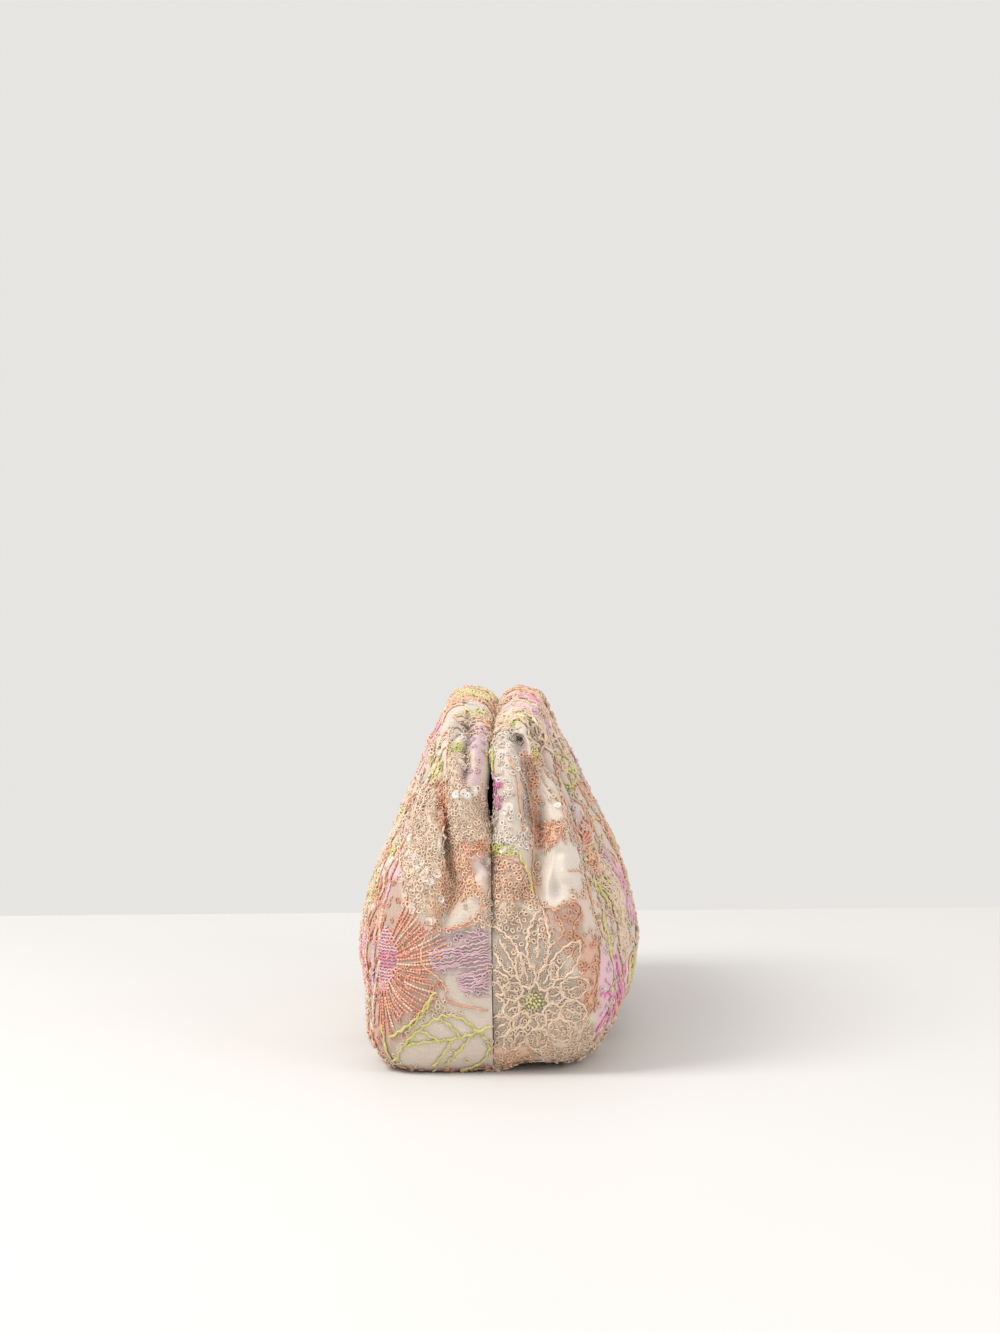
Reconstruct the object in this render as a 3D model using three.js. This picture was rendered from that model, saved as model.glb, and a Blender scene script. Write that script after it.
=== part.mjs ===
// Sequin evening clutch: two gathered cloth panels that roll over one hidden steel frame.
// Millimetres, +Z up. X runs along the clutch, the front faces -Y, the near end is +X,
// and the origin is on the surface it stands on, under the middle of the base.
import * as THREE from 'three';
import { mergeVertices } from 'three/addons/utils/BufferGeometryUtils.js';

const { lerp, smoothstep, degToRad } = THREE.MathUtils;

// Overall size of the closed clutch
const LENGTH = 290;
const HEIGHT = 140;
const DEPTH = 114;

// Cloth
const WALL = 2;
const PANEL_GAP = 0.6;

// Rolled lips: the cloth turns over the frame, along the top and down both ends to the hinges
const LIP_LENGTH = 220;
const LIP_RADIUS = 10;
const ARM_RADIUS = 8.2;
const LIP_CORNER = 24;
const HINGE_HEIGHT = 88;
const WRAP_HEIGHT = 7;
const RIDGE_FOOT = 56;
const LIP_RISE = { near: 6, far: 9 };
const HEM = 12;
const CREASE = 3;

// Slit between the two halves at each end, above the side seam
const SLIT_WIDTH = 3.6;
const SLIT_HEIGHT = 107;
const SLIT_SPAN = 11;

// Folds and base
const FOLD_DEPTH = 8;
const FOLD_SPREAD = 1.4;
const SEAM_LIFT = 1.5;
const LIFT_LENGTH = 30;
const LIFT_WIDTH = 15;
const FOOT_HEIGHT = 26;
const TOP_HEIGHT = 98;

// Frame: one round steel bar, bent to a loop that lies in both lips
const BAR_RADIUS = 2.2;
const BAR_CLEARANCE = 0.3;
const BAR_SETBACK = 2.5;
const BAR_SIDES = 6;
const BAR_STEPS = 72;

// Plan of the closed clutch at each height. up is a share of HEIGHT, long of LENGTH / 2,
// and end (half depth where the end face turns), mid (half depth halfway along) and
// corner (radius of the turn) are shares of DEPTH / 2.
const SECTIONS = [
  { up: 0.000, long: 0.895, end: 0.62, mid: 0.68, corner: 0.26 },
  { up: 0.035, long: 0.940, end: 0.72, mid: 0.82, corner: 0.30 },
  { up: 0.100, long: 0.975, end: 0.78, mid: 0.93, corner: 0.34 },
  { up: 0.260, long: 1.000, end: 0.80, mid: 1.00, corner: 0.36 },
  { up: 0.430, long: 0.992, end: 0.75, mid: 0.93, corner: 0.36 },
  { up: 0.570, long: 0.968, end: 0.66, mid: 0.80, corner: 0.34 },
  { up: 0.700, long: 0.930, end: 0.54, mid: 0.66, corner: 0.28 },
  { up: 0.800, long: 0.893, end: 0.44, mid: 0.54, corner: 0.20 },
  { up: 0.920, long: 0.850, end: 0.34, mid: 0.40, corner: 0.13 },
];

// How the two panels differ. valley is the width of the dip beside the rolled lip at the
// ends, lift is how high the near end of the base stands, and foot and top are the shares by
// which the panel is deeper near its base and near its lip.
const PANELS = {
  front: { valley: 2, lift: 0, foot: 0.09, top: 0.10 },
  back: { valley: 8, lift: 4, foot: -0.10, top: 0.00 },
};

// Rows of the cloth below the lip. side is the row's height share beside the seam, where
// the cloth starts at the hinge, full is its height share elsewhere, and steps is the
// number of mesh rows from the row above.
const BODY_ROWS = [
  { side: 0.585, full: 0.790, steps: 2 },
  { side: 0.545, full: 0.690, steps: 2 },
  { side: 0.490, full: 0.570, steps: 2 },
  { side: 0.420, full: 0.440, steps: 1 },
  { side: 0.350, full: 0.360, steps: 1 },
  { side: 0.250, full: 0.260, steps: 2 },
  { side: 0.085, full: 0.085, steps: 2 },
  { side: 0.028, full: 0.028, steps: 1 },
  { side: 0.000, full: 0.000, steps: 1 },
];

// Rows of the rolled lip: angle round the bar, from the mouth side over the top to the
// outside. fold is the share of a fold's depth that the row takes, and beside is its height
// above the hinge on the side seam, where the lip has narrowed to its mouth side alone.
const ROLL_ROWS = [
  { angle: -90, steps: 1, fold: 0, beside: 3.0 },
  { angle: -45, steps: 2, fold: 0.2, beside: 2.0 },
  { angle: 0, steps: 2, fold: 0.45, beside: 1.0 },
  { angle: 45, steps: 2, fold: 0.8, beside: 0.0 },
  { angle: 80, steps: 1, fold: 1, beside: -1.0 },
];
const HEM_BESIDE = 4;

// Where the lip is at its full width, and where the end face and the corner end, as shares of
// the way from the side seam to halfway along, and the mesh columns in each stretch
const WRAP_SHARE = 0.11;
const END_SHARE = 0.30;
const CORNER_SHARE = 0.44;
const COLUMNS = { wrap: 4, end: 5, corner: 5 };

// Folds of each panel. at is the place along the panel from the near side seam (0) to the
// far one (1), width is its half width in the same share, depth is a share of FOLD_DEPTH,
// foot is the height share where it has faded out, full where it is at its deepest, and
// roll is the share of the depth that it keeps where it crosses the lip.
const FOLDS = {
  front: [
    { at: 0.145, width: 0.014, depth: 0.55, foot: 0.34, full: 0.66, roll: 0.30 },
    { at: 0.180, width: 0.012, depth: 0.60, foot: 0.45, full: 0.80, roll: 0.45 },
    { at: 0.208, width: 0.010, depth: 0.40, foot: 0.62, full: 0.84, roll: 0.45 },
    { at: 0.262, width: 0.018, depth: 0.50, foot: 0.10, full: 0.74, roll: 0.15 },
    { at: 0.330, width: 0.021, depth: 0.75, foot: 0.40, full: 0.84, roll: 0.20 },
    { at: 0.400, width: 0.018, depth: 0.55, foot: 0.52, full: 0.84, roll: 0.20 },
    { at: 0.474, width: 0.023, depth: 0.80, foot: 0.38, full: 0.84, roll: 0.20 },
    { at: 0.556, width: 0.020, depth: 0.60, foot: 0.50, full: 0.84, roll: 0.20 },
    { at: 0.640, width: 0.023, depth: 0.75, foot: 0.42, full: 0.84, roll: 0.20 },
    { at: 0.728, width: 0.019, depth: 0.50, foot: 0.15, full: 0.74, roll: 0.15 },
    { at: 0.794, width: 0.010, depth: 0.40, foot: 0.60, full: 0.84, roll: 0.45 },
    { at: 0.822, width: 0.012, depth: 0.65, foot: 0.48, full: 0.80, roll: 0.45 },
    { at: 0.856, width: 0.014, depth: 0.55, foot: 0.34, full: 0.66, roll: 0.30 },
  ],
  back: [
    { at: 0.138, width: 0.016, depth: 0.45, foot: 0.24, full: 0.62, roll: 0.25 },
    { at: 0.172, width: 0.011, depth: 0.75, foot: 0.55, full: 0.84, roll: 0.50 },
    { at: 0.206, width: 0.010, depth: 0.45, foot: 0.60, full: 0.84, roll: 0.45 },
    { at: 0.258, width: 0.020, depth: 0.60, foot: 0.02, full: 0.66, roll: 0.15 },
    { at: 0.324, width: 0.018, depth: 0.55, foot: 0.50, full: 0.84, roll: 0.20 },
    { at: 0.396, width: 0.023, depth: 0.80, foot: 0.40, full: 0.84, roll: 0.20 },
    { at: 0.482, width: 0.020, depth: 0.55, foot: 0.52, full: 0.84, roll: 0.20 },
    { at: 0.566, width: 0.023, depth: 0.75, foot: 0.40, full: 0.84, roll: 0.20 },
    { at: 0.650, width: 0.019, depth: 0.60, foot: 0.48, full: 0.84, roll: 0.20 },
    { at: 0.738, width: 0.020, depth: 0.55, foot: 0.12, full: 0.72, roll: 0.15 },
    { at: 0.796, width: 0.010, depth: 0.45, foot: 0.58, full: 0.84, roll: 0.45 },
    { at: 0.826, width: 0.012, depth: 0.70, foot: 0.50, full: 0.80, roll: 0.45 },
    { at: 0.862, width: 0.016, depth: 0.45, foot: 0.26, full: 0.62, roll: 0.25 },
  ],
};

// Value of one column of SECTIONS at a height, by a smooth curve through its rows
function sectionAt(column, height) {
  const up = THREE.MathUtils.clamp(height / HEIGHT, SECTIONS[0].up, SECTIONS.at(-1).up);
  let i = 0;
  while (i < SECTIONS.length - 2 && SECTIONS[i + 1].up < up) i += 1;
  const [a, b] = [SECTIONS[i], SECTIONS[i + 1]];
  const before = SECTIONS[i - 1] ?? a;
  const after = SECTIONS[i + 2] ?? b;
  const span = b.up - a.up;
  const slopeA = ((b[column] - before[column]) / (b.up - before.up)) * span;
  const slopeB = ((after[column] - a[column]) / (after.up - a.up)) * span;
  const s = (up - a.up) / span;
  return (2 * s ** 3 - 3 * s ** 2 + 1) * a[column] + (s ** 3 - 2 * s ** 2 + s) * slopeA
    + (3 * s ** 2 - 2 * s ** 3) * b[column] + (s ** 3 - s ** 2) * slopeB;
}

// Half the gap between the two halves at a height
function halfGap(height) {
  const away = (height - SLIT_HEIGHT) / SLIT_SPAN;
  return PANEL_GAP / 2 + ((SLIT_WIDTH - PANEL_GAP) / 2) * Math.exp(-(away ** 2) * 2);
}

// Outermost line of the rolled lip, and the direction that it faces, at a share t of the way
// from the hinge (0) up the end, round the corner and along the top to the middle (1)
function lipLine(t, end) {
  const rise = LIP_RISE[end];
  const reach = LIP_LENGTH / 2;
  const topAngle = Math.atan2(reach, 2 * rise);
  const centre = new THREE.Vector2(
    reach - LIP_CORNER * Math.cos(topAngle),
    HEIGHT - rise - LIP_CORNER * Math.sin(topAngle),
  );
  const hinge = new THREE.Vector2((sectionAt('long', HINGE_HEIGHT) * LENGTH) / 2, HINGE_HEIGHT);
  const toHinge = hinge.clone().sub(centre);
  const armAngle = Math.atan2(toHinge.y, toHinge.x) + Math.acos(LIP_CORNER / toHinge.length());
  const onCorner = (angle) => new THREE.Vector2(Math.cos(angle), Math.sin(angle));
  if (t < END_SHARE) {
    const facing = onCorner(armAngle);
    const top = centre.clone().addScaledVector(facing, LIP_CORNER);
    const wrap = WRAP_HEIGHT / (top.y - HINGE_HEIGHT);
    const share = t < WRAP_SHARE
      ? (wrap * t) / WRAP_SHARE
      : lerp(wrap, 1, (t - WRAP_SHARE) / (END_SHARE - WRAP_SHARE));
    return { point: hinge.clone().lerp(top, share), facing };
  }
  if (t < CORNER_SHARE) {
    const share = (t - END_SHARE) / (CORNER_SHARE - END_SHARE);
    const facing = onCorner(lerp(armAngle, topAngle, share));
    return { point: centre.clone().addScaledVector(facing, LIP_CORNER), facing };
  }
  const x = reach * (1 - (t - CORNER_SHARE) / (1 - CORNER_SHARE));
  const slope = (2 * rise * x) / reach ** 2;
  return {
    point: new THREE.Vector2(x, HEIGHT - rise * (x / reach) ** 2),
    facing: new THREE.Vector2(slope, 1).normalize(),
  };
}

function rollRadius(t) {
  return lerp(ARM_RADIUS, LIP_RADIUS, smoothstep(t, END_SHARE, 0.6));
}

// How far round the bar the lip goes at t, when angle is where it goes at its full width
function wrapAngle(t, angle) {
  return degToRad(lerp(-90, angle, Math.min(t / WRAP_SHARE, 1)));
}

// A point of the rolled lip, at an angle round it; inward moves it towards the hem
function rollPoint(t, end, angle, inward) {
  const { point, facing } = lipLine(t, end);
  const radius = rollRadius(t);
  const turn = wrapAngle(t, angle);
  const out = radius * (Math.cos(turn) - 1) - inward;
  const place = point.clone().addScaledVector(facing, out);
  return new THREE.Vector3(
    place.x,
    halfGap(place.y) + radius * (1 + Math.sin(turn)),
    place.y,
  );
}

// A point of the cloth below the lip, on the plan at its height
function bodyPoint(t, height, valley) {
  const long = (sectionAt('long', height) * LENGTH) / 2;
  const endDepth = (sectionAt('end', height) * DEPTH) / 2;
  const midDepth = (sectionAt('mid', height) * DEPTH) / 2;
  const corner = (sectionAt('corner', height) * DEPTH) / 2;
  const besideArm = 2 * ARM_RADIUS + PANEL_GAP + valley;
  if (t < END_SHARE) {
    const flat = new THREE.Vector3(long, PANEL_GAP / 2, height);
    flat.y = lerp(flat.y, endDepth - corner, t / END_SHARE);
    const turn = wrapAngle(t, ROLL_ROWS.at(-1).angle);
    const ridge = new THREE.Vector3(
      long + ARM_RADIUS * (Math.cos(turn) - 1),
      PANEL_GAP / 2 + ARM_RADIUS * (1 + Math.sin(turn)),
      height,
    );
    const outer = new THREE.Vector3(long, Math.max(endDepth - corner, besideArm), height);
    const across = Math.max(t - WRAP_SHARE, 0) / (END_SHARE - WRAP_SHARE);
    ridge.x = lerp(ridge.x, outer.x, smoothstep(across, 0.35, 1));
    ridge.y = lerp(ridge.y, outer.y, across);
    return flat.lerp(ridge, smoothstep(height, RIDGE_FOOT, HINGE_HEIGHT));
  }
  if (t < CORNER_SHARE) {
    const turn = ((t - END_SHARE) / (CORNER_SHARE - END_SHARE)) * (Math.PI / 2);
    const start = lerp(
      endDepth - corner,
      Math.max(endDepth - corner, besideArm),
      smoothstep(height, RIDGE_FOOT, HINGE_HEIGHT),
    );
    return new THREE.Vector3(
      long - corner * (1 - Math.cos(turn)),
      start + (endDepth - start) * Math.sin(turn),
      height,
    );
  }
  const along = 1 - (t - CORNER_SHARE) / (1 - CORNER_SHARE);
  return new THREE.Vector3(
    (long - corner) * along,
    lerp(midDepth, endDepth, along ** 2),
    height,
  );
}

// Direction in plan that the cloth faces, which a fold sinks against
function planFacing(t) {
  const turn = THREE.MathUtils.clamp((t - END_SHARE) / (CORNER_SHARE - END_SHARE), 0, 1);
  const angle = (turn * Math.PI) / 2;
  return new THREE.Vector3(Math.cos(angle), Math.sin(angle), 0);
}

// A point of the base seam, under the middle
function basePoint(t) {
  const long = (sectionAt('long', 0) * LENGTH) / 2;
  const spine = long - (sectionAt('end', 0) * DEPTH) / 2;
  const x = t < CORNER_SHARE
    ? lerp(long - WALL, spine, t / CORNER_SHARE)
    : spine * (1 - (t - CORNER_SHARE) / (1 - CORNER_SHARE));
  return new THREE.Vector3(x, PANEL_GAP / 2, 0);
}

// The points that one rib of cloth runs through, from the hem in the mouth to the base
// seam. Each has the number of mesh rows from the point before it, the direction that a fold
// sinks in, and the shares of a fold that it takes as lip and as body.
function ribPoints(t, end, valley) {
  const { facing } = lipLine(t, end);
  const closing = 1 - Math.min(t / WRAP_SHARE, 1);
  const onLip = (angle, inward, beside) => {
    const at = rollPoint(t, end, angle, inward);
    at.z += beside * closing;
    return at;
  };
  const around = (angle) => {
    const turn = wrapAngle(t, angle);
    return new THREE.Vector3(facing.x * Math.cos(turn), Math.sin(turn), facing.y * Math.cos(turn));
  };
  const hem = HEM * smoothstep(t, 0, END_SHARE);
  const points = [
    { at: onLip(-90, hem, HEM_BESIDE), steps: 0, outward: around(-90), lip: 0, body: 0 },
  ];
  for (const row of ROLL_ROWS) {
    points.push({
      at: onLip(row.angle, 0, row.beside),
      steps: row.steps,
      outward: around(row.angle),
      lip: row.fold,
      body: 0,
    });
  }
  const below = Math.min(t / CORNER_SHARE, 1) ** 2;
  const outward = planFacing(t);
  const body = BODY_ROWS.map((row) => ({
    at: bodyPoint(t, lerp(row.side, row.full, below) * HEIGHT, valley),
    steps: row.steps,
    outward,
    lip: 0,
    body: 1,
  }));
  const crease = points.at(-1).at.clone().lerp(body[0].at, 0.4);
  const depth = CREASE * smoothstep(t, WRAP_SHARE, (WRAP_SHARE + END_SHARE) / 2)
    * (1 - smoothstep(t, CORNER_SHARE, 0.6));
  crease.addScaledVector(outward, -depth);
  points.push({ at: crease, steps: 1, outward, lip: 0.5, body: 0.5 }, ...body);
  const seam = basePoint(t);
  const edge = points.at(-1).at;
  const flat = { outward, lip: 0, body: 0 };
  points.push({ at: edge.clone().lerp(seam, 0.35), steps: 1, ...flat });
  points.push({ at: seam, steps: 2, ...flat });
  return points;
}

// All points of a rib, on a smooth curve through the points above
function rib(t, end, valley) {
  const points = ribPoints(t, end, valley);
  const curve = new THREE.CatmullRomCurve3(points.map((p) => p.at), false, 'centripetal');
  const spans = points.length - 1;
  const found = [{ ...points[0] }];
  for (let i = 1; i <= spans; i += 1) {
    for (let k = 1; k <= points[i].steps; k += 1) {
      const share = k / points[i].steps;
      found.push({
        at: curve.getPoint((i - 1 + share) / spans),
        outward: points[i - 1].outward.clone().lerp(points[i].outward, share).normalize(),
        lip: lerp(points[i - 1].lip, points[i].lip, share),
        body: lerp(points[i - 1].body, points[i].body, share),
      });
    }
  }
  return found;
}

// Places of the mesh columns, from the near side seam (0) to the far one (1). Along the
// panel each fold has three.
function columnPlaces(folds) {
  const near = [];
  for (let i = 0; i < COLUMNS.wrap; i += 1) near.push((WRAP_SHARE * i) / COLUMNS.wrap);
  for (let i = 0; i < COLUMNS.end; i += 1) {
    near.push(lerp(WRAP_SHARE, END_SHARE, i / COLUMNS.end));
  }
  for (let i = 0; i <= COLUMNS.corner; i += 1) {
    near.push(lerp(END_SHARE, CORNER_SHARE, i / COLUMNS.corner));
  }
  const along = folds.filter((fold) => Math.abs(fold.at - 0.5) < (1 - CORNER_SHARE) / 2)
    .flatMap(({ at, width }) => [at - FOLD_SPREAD * width, at, at + FOLD_SPREAD * width]);
  const ends = near.flatMap((t) => [t / 2, 1 - t / 2]);
  return [...ends, ...along].sort((a, b) => a - b);
}

// Outward direction of the cloth at each point of a grid of points
function gridNormals(grid) {
  const last = { i: grid.length - 1, j: grid[0].length - 1 };
  return grid.map((column, i) => column.map((_, j) => {
    const along = grid[Math.min(i + 1, last.i)][j].clone().sub(grid[Math.max(i - 1, 0)][j]);
    const down = grid[i][Math.min(j + 1, last.j)].clone().sub(grid[i][Math.max(j - 1, 0)]);
    const normal = down.cross(along);
    if (j === last.j) normal.set(0, 0, -1);
    if (i === 0 || i === last.i) normal.y = 0;
    return normal.normalize();
  }));
}

// Depth of the folds at a place along the panel, for a point of the lip or of the body
function foldDepth(place, point, folds) {
  let depth = 0;
  for (const fold of folds) {
    const across = Math.exp(-(((place - fold.at) / fold.width) ** 2));
    const reach = smoothstep(point.at.z / HEIGHT, fold.foot, fold.full);
    depth += fold.depth * across * (point.body * reach + point.lip * fold.roll);
  }
  return depth * FOLD_DEPTH;
}

// Outer face of one half of the clutch, as a grid of points with y of 0 or more
function outerFace(name) {
  const baseLength = (sectionAt('long', 0) * LENGTH) / 2;
  const { valley, lift, foot, top } = PANELS[name];
  return columnPlaces(FOLDS[name]).map((place) => {
    const near = place <= 0.5;
    const points = near ? rib(place * 2, 'near', valley) : rib((1 - place) * 2, 'far', valley);
    return points.map((point) => {
      const moved = point.at.clone();
      moved.addScaledVector(point.outward, -foldDepth(place, point, FOLDS[name]));
      if (!near) moved.x = -moved.x;
      const raised = lerp(SEAM_LIFT, lift, smoothstep(moved.y, 0, LIFT_WIDTH))
        * smoothstep(moved.x, baseLength - LIFT_LENGTH, baseLength);
      moved.z = Math.max(moved.z, 0) + raised * (1 - smoothstep(moved.z, 0, HINGE_HEIGHT));
      moved.y *= 1 + foot * (1 - smoothstep(moved.z, 0, FOOT_HEIGHT))
        + top * smoothstep(moved.z, TOP_HEIGHT, HEIGHT - LIP_RADIUS);
      moved.y = Math.max(moved.y, PANEL_GAP / 2);
      return moved;
    });
  });
}

// A closed cloth wall of even thickness under an outer face. side is -1 or 1.
function clothWall(outer, side) {
  const normals = gridNormals(outer);
  const columns = outer.length;
  const rows = outer[0].length;
  const points = [];
  for (let i = 0; i < columns; i += 1) {
    for (let j = 0; j < rows; j += 1) points.push(outer[i][j]);
  }
  for (let i = 0; i < columns; i += 1) {
    for (let j = 0; j < rows; j += 1) {
      const inner = outer[i][j].clone().addScaledVector(normals[i][j], -WALL);
      inner.y = Math.max(inner.y, PANEL_GAP / 2);
      points.push(inner);
    }
  }
  const outside = (i, j) => i * rows + j;
  const inside = (i, j) => columns * rows + i * rows + j;
  const triangles = [];
  const quad = (a, b, c, d) => {
    const even = points[a].distanceTo(points[c]) < points[b].distanceTo(points[d]);
    triangles.push(...(even ? [a, b, c, a, c, d] : [a, b, d, b, c, d]));
  };
  for (let i = 0; i < columns - 1; i += 1) {
    for (let j = 0; j < rows - 1; j += 1) {
      quad(outside(i, j), outside(i + 1, j), outside(i + 1, j + 1), outside(i, j + 1));
      quad(inside(i, j), inside(i, j + 1), inside(i + 1, j + 1), inside(i + 1, j));
    }
  }
  for (let i = 0; i < columns - 1; i += 1) {
    quad(outside(i, 0), inside(i, 0), inside(i + 1, 0), outside(i + 1, 0));
    const end = rows - 1;
    quad(outside(i, end), outside(i + 1, end), inside(i + 1, end), inside(i, end));
  }
  for (let j = 0; j < rows - 1; j += 1) {
    quad(outside(0, j), outside(0, j + 1), inside(0, j + 1), inside(0, j));
    const end = columns - 1;
    quad(outside(end, j), inside(end, j), inside(end, j + 1), outside(end, j + 1));
  }
  if (side > 0) {
    for (let k = 0; k < triangles.length; k += 3) {
      [triangles[k + 1], triangles[k + 2]] = [triangles[k + 2], triangles[k + 1]];
    }
  }
  const geometry = new THREE.BufferGeometry();
  const coordinates = points.flatMap((p) => [p.x, p.y * side, p.z]);
  geometry.setAttribute('position', new THREE.Float32BufferAttribute(coordinates, 3));
  geometry.setIndex(triangles);
  return mergeVertices(geometry, 0.001);
}

// Centre line of the frame's bar: along one lip, down to the hinge, across and back
function barLine() {
  const beside = PANEL_GAP / 2 + WALL + BAR_CLEARANCE + BAR_RADIUS;
  const crossing = HINGE_HEIGHT - WALL - 3 * BAR_RADIUS;
  const half = (end) => {
    const points = [];
    for (const t of [0.06, 0.14, 0.22, 0.30, 0.34, 0.38, 0.42, 0.5, 0.6, 0.7, 0.8, 0.9]) {
      const { point, facing } = lipLine(t, end);
      const inward = rollRadius(Math.max(t, 0.12)) + BAR_SETBACK;
      const centre = point.clone().addScaledVector(facing, -inward);
      const gap = halfGap(centre.y) - PANEL_GAP / 2;
      points.push(new THREE.Vector3(centre.x, beside + gap, centre.y));
    }
    const low = points[0].clone();
    low.z = crossing + BAR_RADIUS;
    low.y = beside;
    points.unshift(new THREE.Vector3(low.x, beside * 0.5, crossing), low);
    return points;
  };
  const near = half('near');
  const far = half('far').map((p) => p.setX(-p.x));
  const middle = new THREE.Vector3(0, beside, HEIGHT - LIP_RADIUS - BAR_SETBACK);
  const back = [...near, middle, ...far.reverse()];
  const front = back.map((p) => new THREE.Vector3(p.x, -p.y, p.z)).reverse();
  return new THREE.CatmullRomCurve3([...back, ...front], true, 'centripetal');
}

function frameBar() {
  const bar = new THREE.TubeGeometry(barLine(), BAR_STEPS, BAR_RADIUS, BAR_SIDES, true);
  bar.deleteAttribute('normal');
  bar.deleteAttribute('uv');
  return mergeVertices(bar, 0.001);
}

const embroideredCloth = new THREE.MeshStandardMaterial({ color: 0xe6d3c1, roughness: 0.55 });
const steel = new THREE.MeshStandardMaterial({ color: 0xc8c4ba, roughness: 0.35, metalness: 1 });

function namedMesh(name, geometry, material) {
  const mesh = new THREE.Mesh(geometry, material);
  mesh.name = name;
  return mesh;
}

const clutch = new THREE.Group();
clutch.add(namedMesh('front_panel', clothWall(outerFace('front'), -1), embroideredCloth));
clutch.add(namedMesh('back_panel', clothWall(outerFace('back'), 1), embroideredCloth));
clutch.add(namedMesh('frame_bar', frameBar(), steel));

export default clutch;
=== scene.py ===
"""Looks of the sequin evening clutch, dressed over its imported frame.

The cloth is worked out in millimetres from the same named sizes as the solids, at a finer pitch,
and the embroidery is sewn on its surface. Meshes are made in metres.
"""

from __future__ import annotations

import logging
import math
from dataclasses import dataclass, field
from enum import Enum

import bpy
import numpy as np
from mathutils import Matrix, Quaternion, Vector


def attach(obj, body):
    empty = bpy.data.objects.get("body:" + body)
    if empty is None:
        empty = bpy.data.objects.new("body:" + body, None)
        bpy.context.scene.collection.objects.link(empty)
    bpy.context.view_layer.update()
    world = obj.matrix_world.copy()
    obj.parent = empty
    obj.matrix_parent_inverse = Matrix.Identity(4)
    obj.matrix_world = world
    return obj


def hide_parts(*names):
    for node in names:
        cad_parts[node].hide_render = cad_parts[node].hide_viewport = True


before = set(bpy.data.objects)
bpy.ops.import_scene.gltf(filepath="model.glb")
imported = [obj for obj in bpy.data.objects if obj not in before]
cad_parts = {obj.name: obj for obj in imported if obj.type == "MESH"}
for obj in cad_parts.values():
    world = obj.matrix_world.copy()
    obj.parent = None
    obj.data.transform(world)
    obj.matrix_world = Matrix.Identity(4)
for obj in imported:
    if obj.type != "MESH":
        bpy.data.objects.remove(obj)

LOG = logging.getLogger("clutch")
MM = 0.001
Points = tuple[tuple[float, float], ...]


class Colour(Enum):
    """Colours of the cloth and its embroidery, as display red, green and blue."""

    SATIN = (0.850, 0.800, 0.745)
    GREIGE = (0.490, 0.405, 0.325)
    WHITE = (0.920, 0.890, 0.855)
    BLUSH = (0.890, 0.800, 0.750)
    CREAM = (0.910, 0.800, 0.690)
    PEACH = (0.930, 0.730, 0.570)
    ORANGE = (0.880, 0.560, 0.370)
    CORAL = (0.870, 0.470, 0.300)
    RUST = (0.620, 0.390, 0.270)
    PALE_LILAC = (0.890, 0.810, 0.850)
    LILAC = (0.810, 0.640, 0.730)
    MAUVE = (0.520, 0.385, 0.430)
    PINK = (0.930, 0.660, 0.820)
    MAGENTA = (0.880, 0.210, 0.670)
    LIME = (0.780, 0.790, 0.260)
    OLIVE = (0.580, 0.560, 0.200)
    PEARL = (0.930, 0.920, 0.900)

    def linear(self) -> np.ndarray:
        """The colour as linear light."""
        value = np.array(self.value)
        return np.where(value <= 0.04045, value / 12.92, ((value + 0.055) / 1.055) ** 2.4)


class Half(Enum):
    """The two halves of the clutch, by the sign of Y that each is on."""

    FRONT = -1
    BACK = 1


class Stitch(Enum):
    """The kinds of thing that are sewn to the cloth."""

    RING = "ring"
    LINK = "link"
    BEAD = "bead"
    BUGLE = "bugle"
    SEQUIN = "sequin"


def smoothstep(x: np.ndarray, low: float, high: float) -> np.ndarray:
    """Smooth step from 0 at low to 1 at high."""
    share = np.clip((x - low) / (high - low), 0.0, 1.0)
    return share * share * (3.0 - 2.0 * share)


def lerp(a: np.ndarray, b: np.ndarray, share: np.ndarray) -> np.ndarray:
    """Straight blend from a to b."""
    return a + (b - a) * share


def unit(vectors: np.ndarray) -> np.ndarray:
    """Vectors scaled to length 1."""
    return vectors / np.maximum(np.linalg.norm(vectors, axis=-1, keepdims=True), 1e-9)


def ripple(points: np.ndarray, size: float, seed: int) -> np.ndarray:
    """Smooth seeded noise from about -1 to 1, as a sum of plane waves.

    Args:
        points: Places in millimetres, with three coordinates in the last axis.
        size: Size of its lumps in millimetres.
        seed: Seed of the waves' directions.

    Returns:
        One value for each place.
    """
    rng = np.random.default_rng(seed)
    ways = unit(rng.normal(size=(9, 3))) * (2.0 * math.pi / size) * rng.uniform(0.6, 1.4, (9, 1))
    return np.sin(points @ ways.T + rng.uniform(0, 2 * math.pi, 9)).sum(axis=-1) / 3.0


@dataclass(frozen=True)
class Fold:
    """One main fold: place along the panel, half width, depth share, and where it fades."""

    at: float
    width: float
    depth: float
    foot: float
    full: float
    roll: float


@dataclass(frozen=True)
class PanelShape:
    """How one panel differs from the other. The folds are those of its long side; the creases
    take the place of the folds that the solids have at the ends."""

    valley: float
    lift: float
    foot: float
    top: float
    folds: tuple[Fold, ...]


FRONT_SHAPE = PanelShape(2.0, 0.0, 0.09, 0.10, (
    Fold(0.262, 0.018, 0.50, 0.10, 0.74, 0.15),
    Fold(0.330, 0.021, 0.75, 0.40, 0.84, 0.20),
    Fold(0.400, 0.018, 0.55, 0.52, 0.84, 0.20),
    Fold(0.474, 0.023, 0.80, 0.38, 0.84, 0.20),
    Fold(0.556, 0.020, 0.60, 0.50, 0.84, 0.20),
    Fold(0.640, 0.023, 0.75, 0.42, 0.84, 0.20),
    Fold(0.728, 0.019, 0.50, 0.15, 0.74, 0.15),
))

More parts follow.
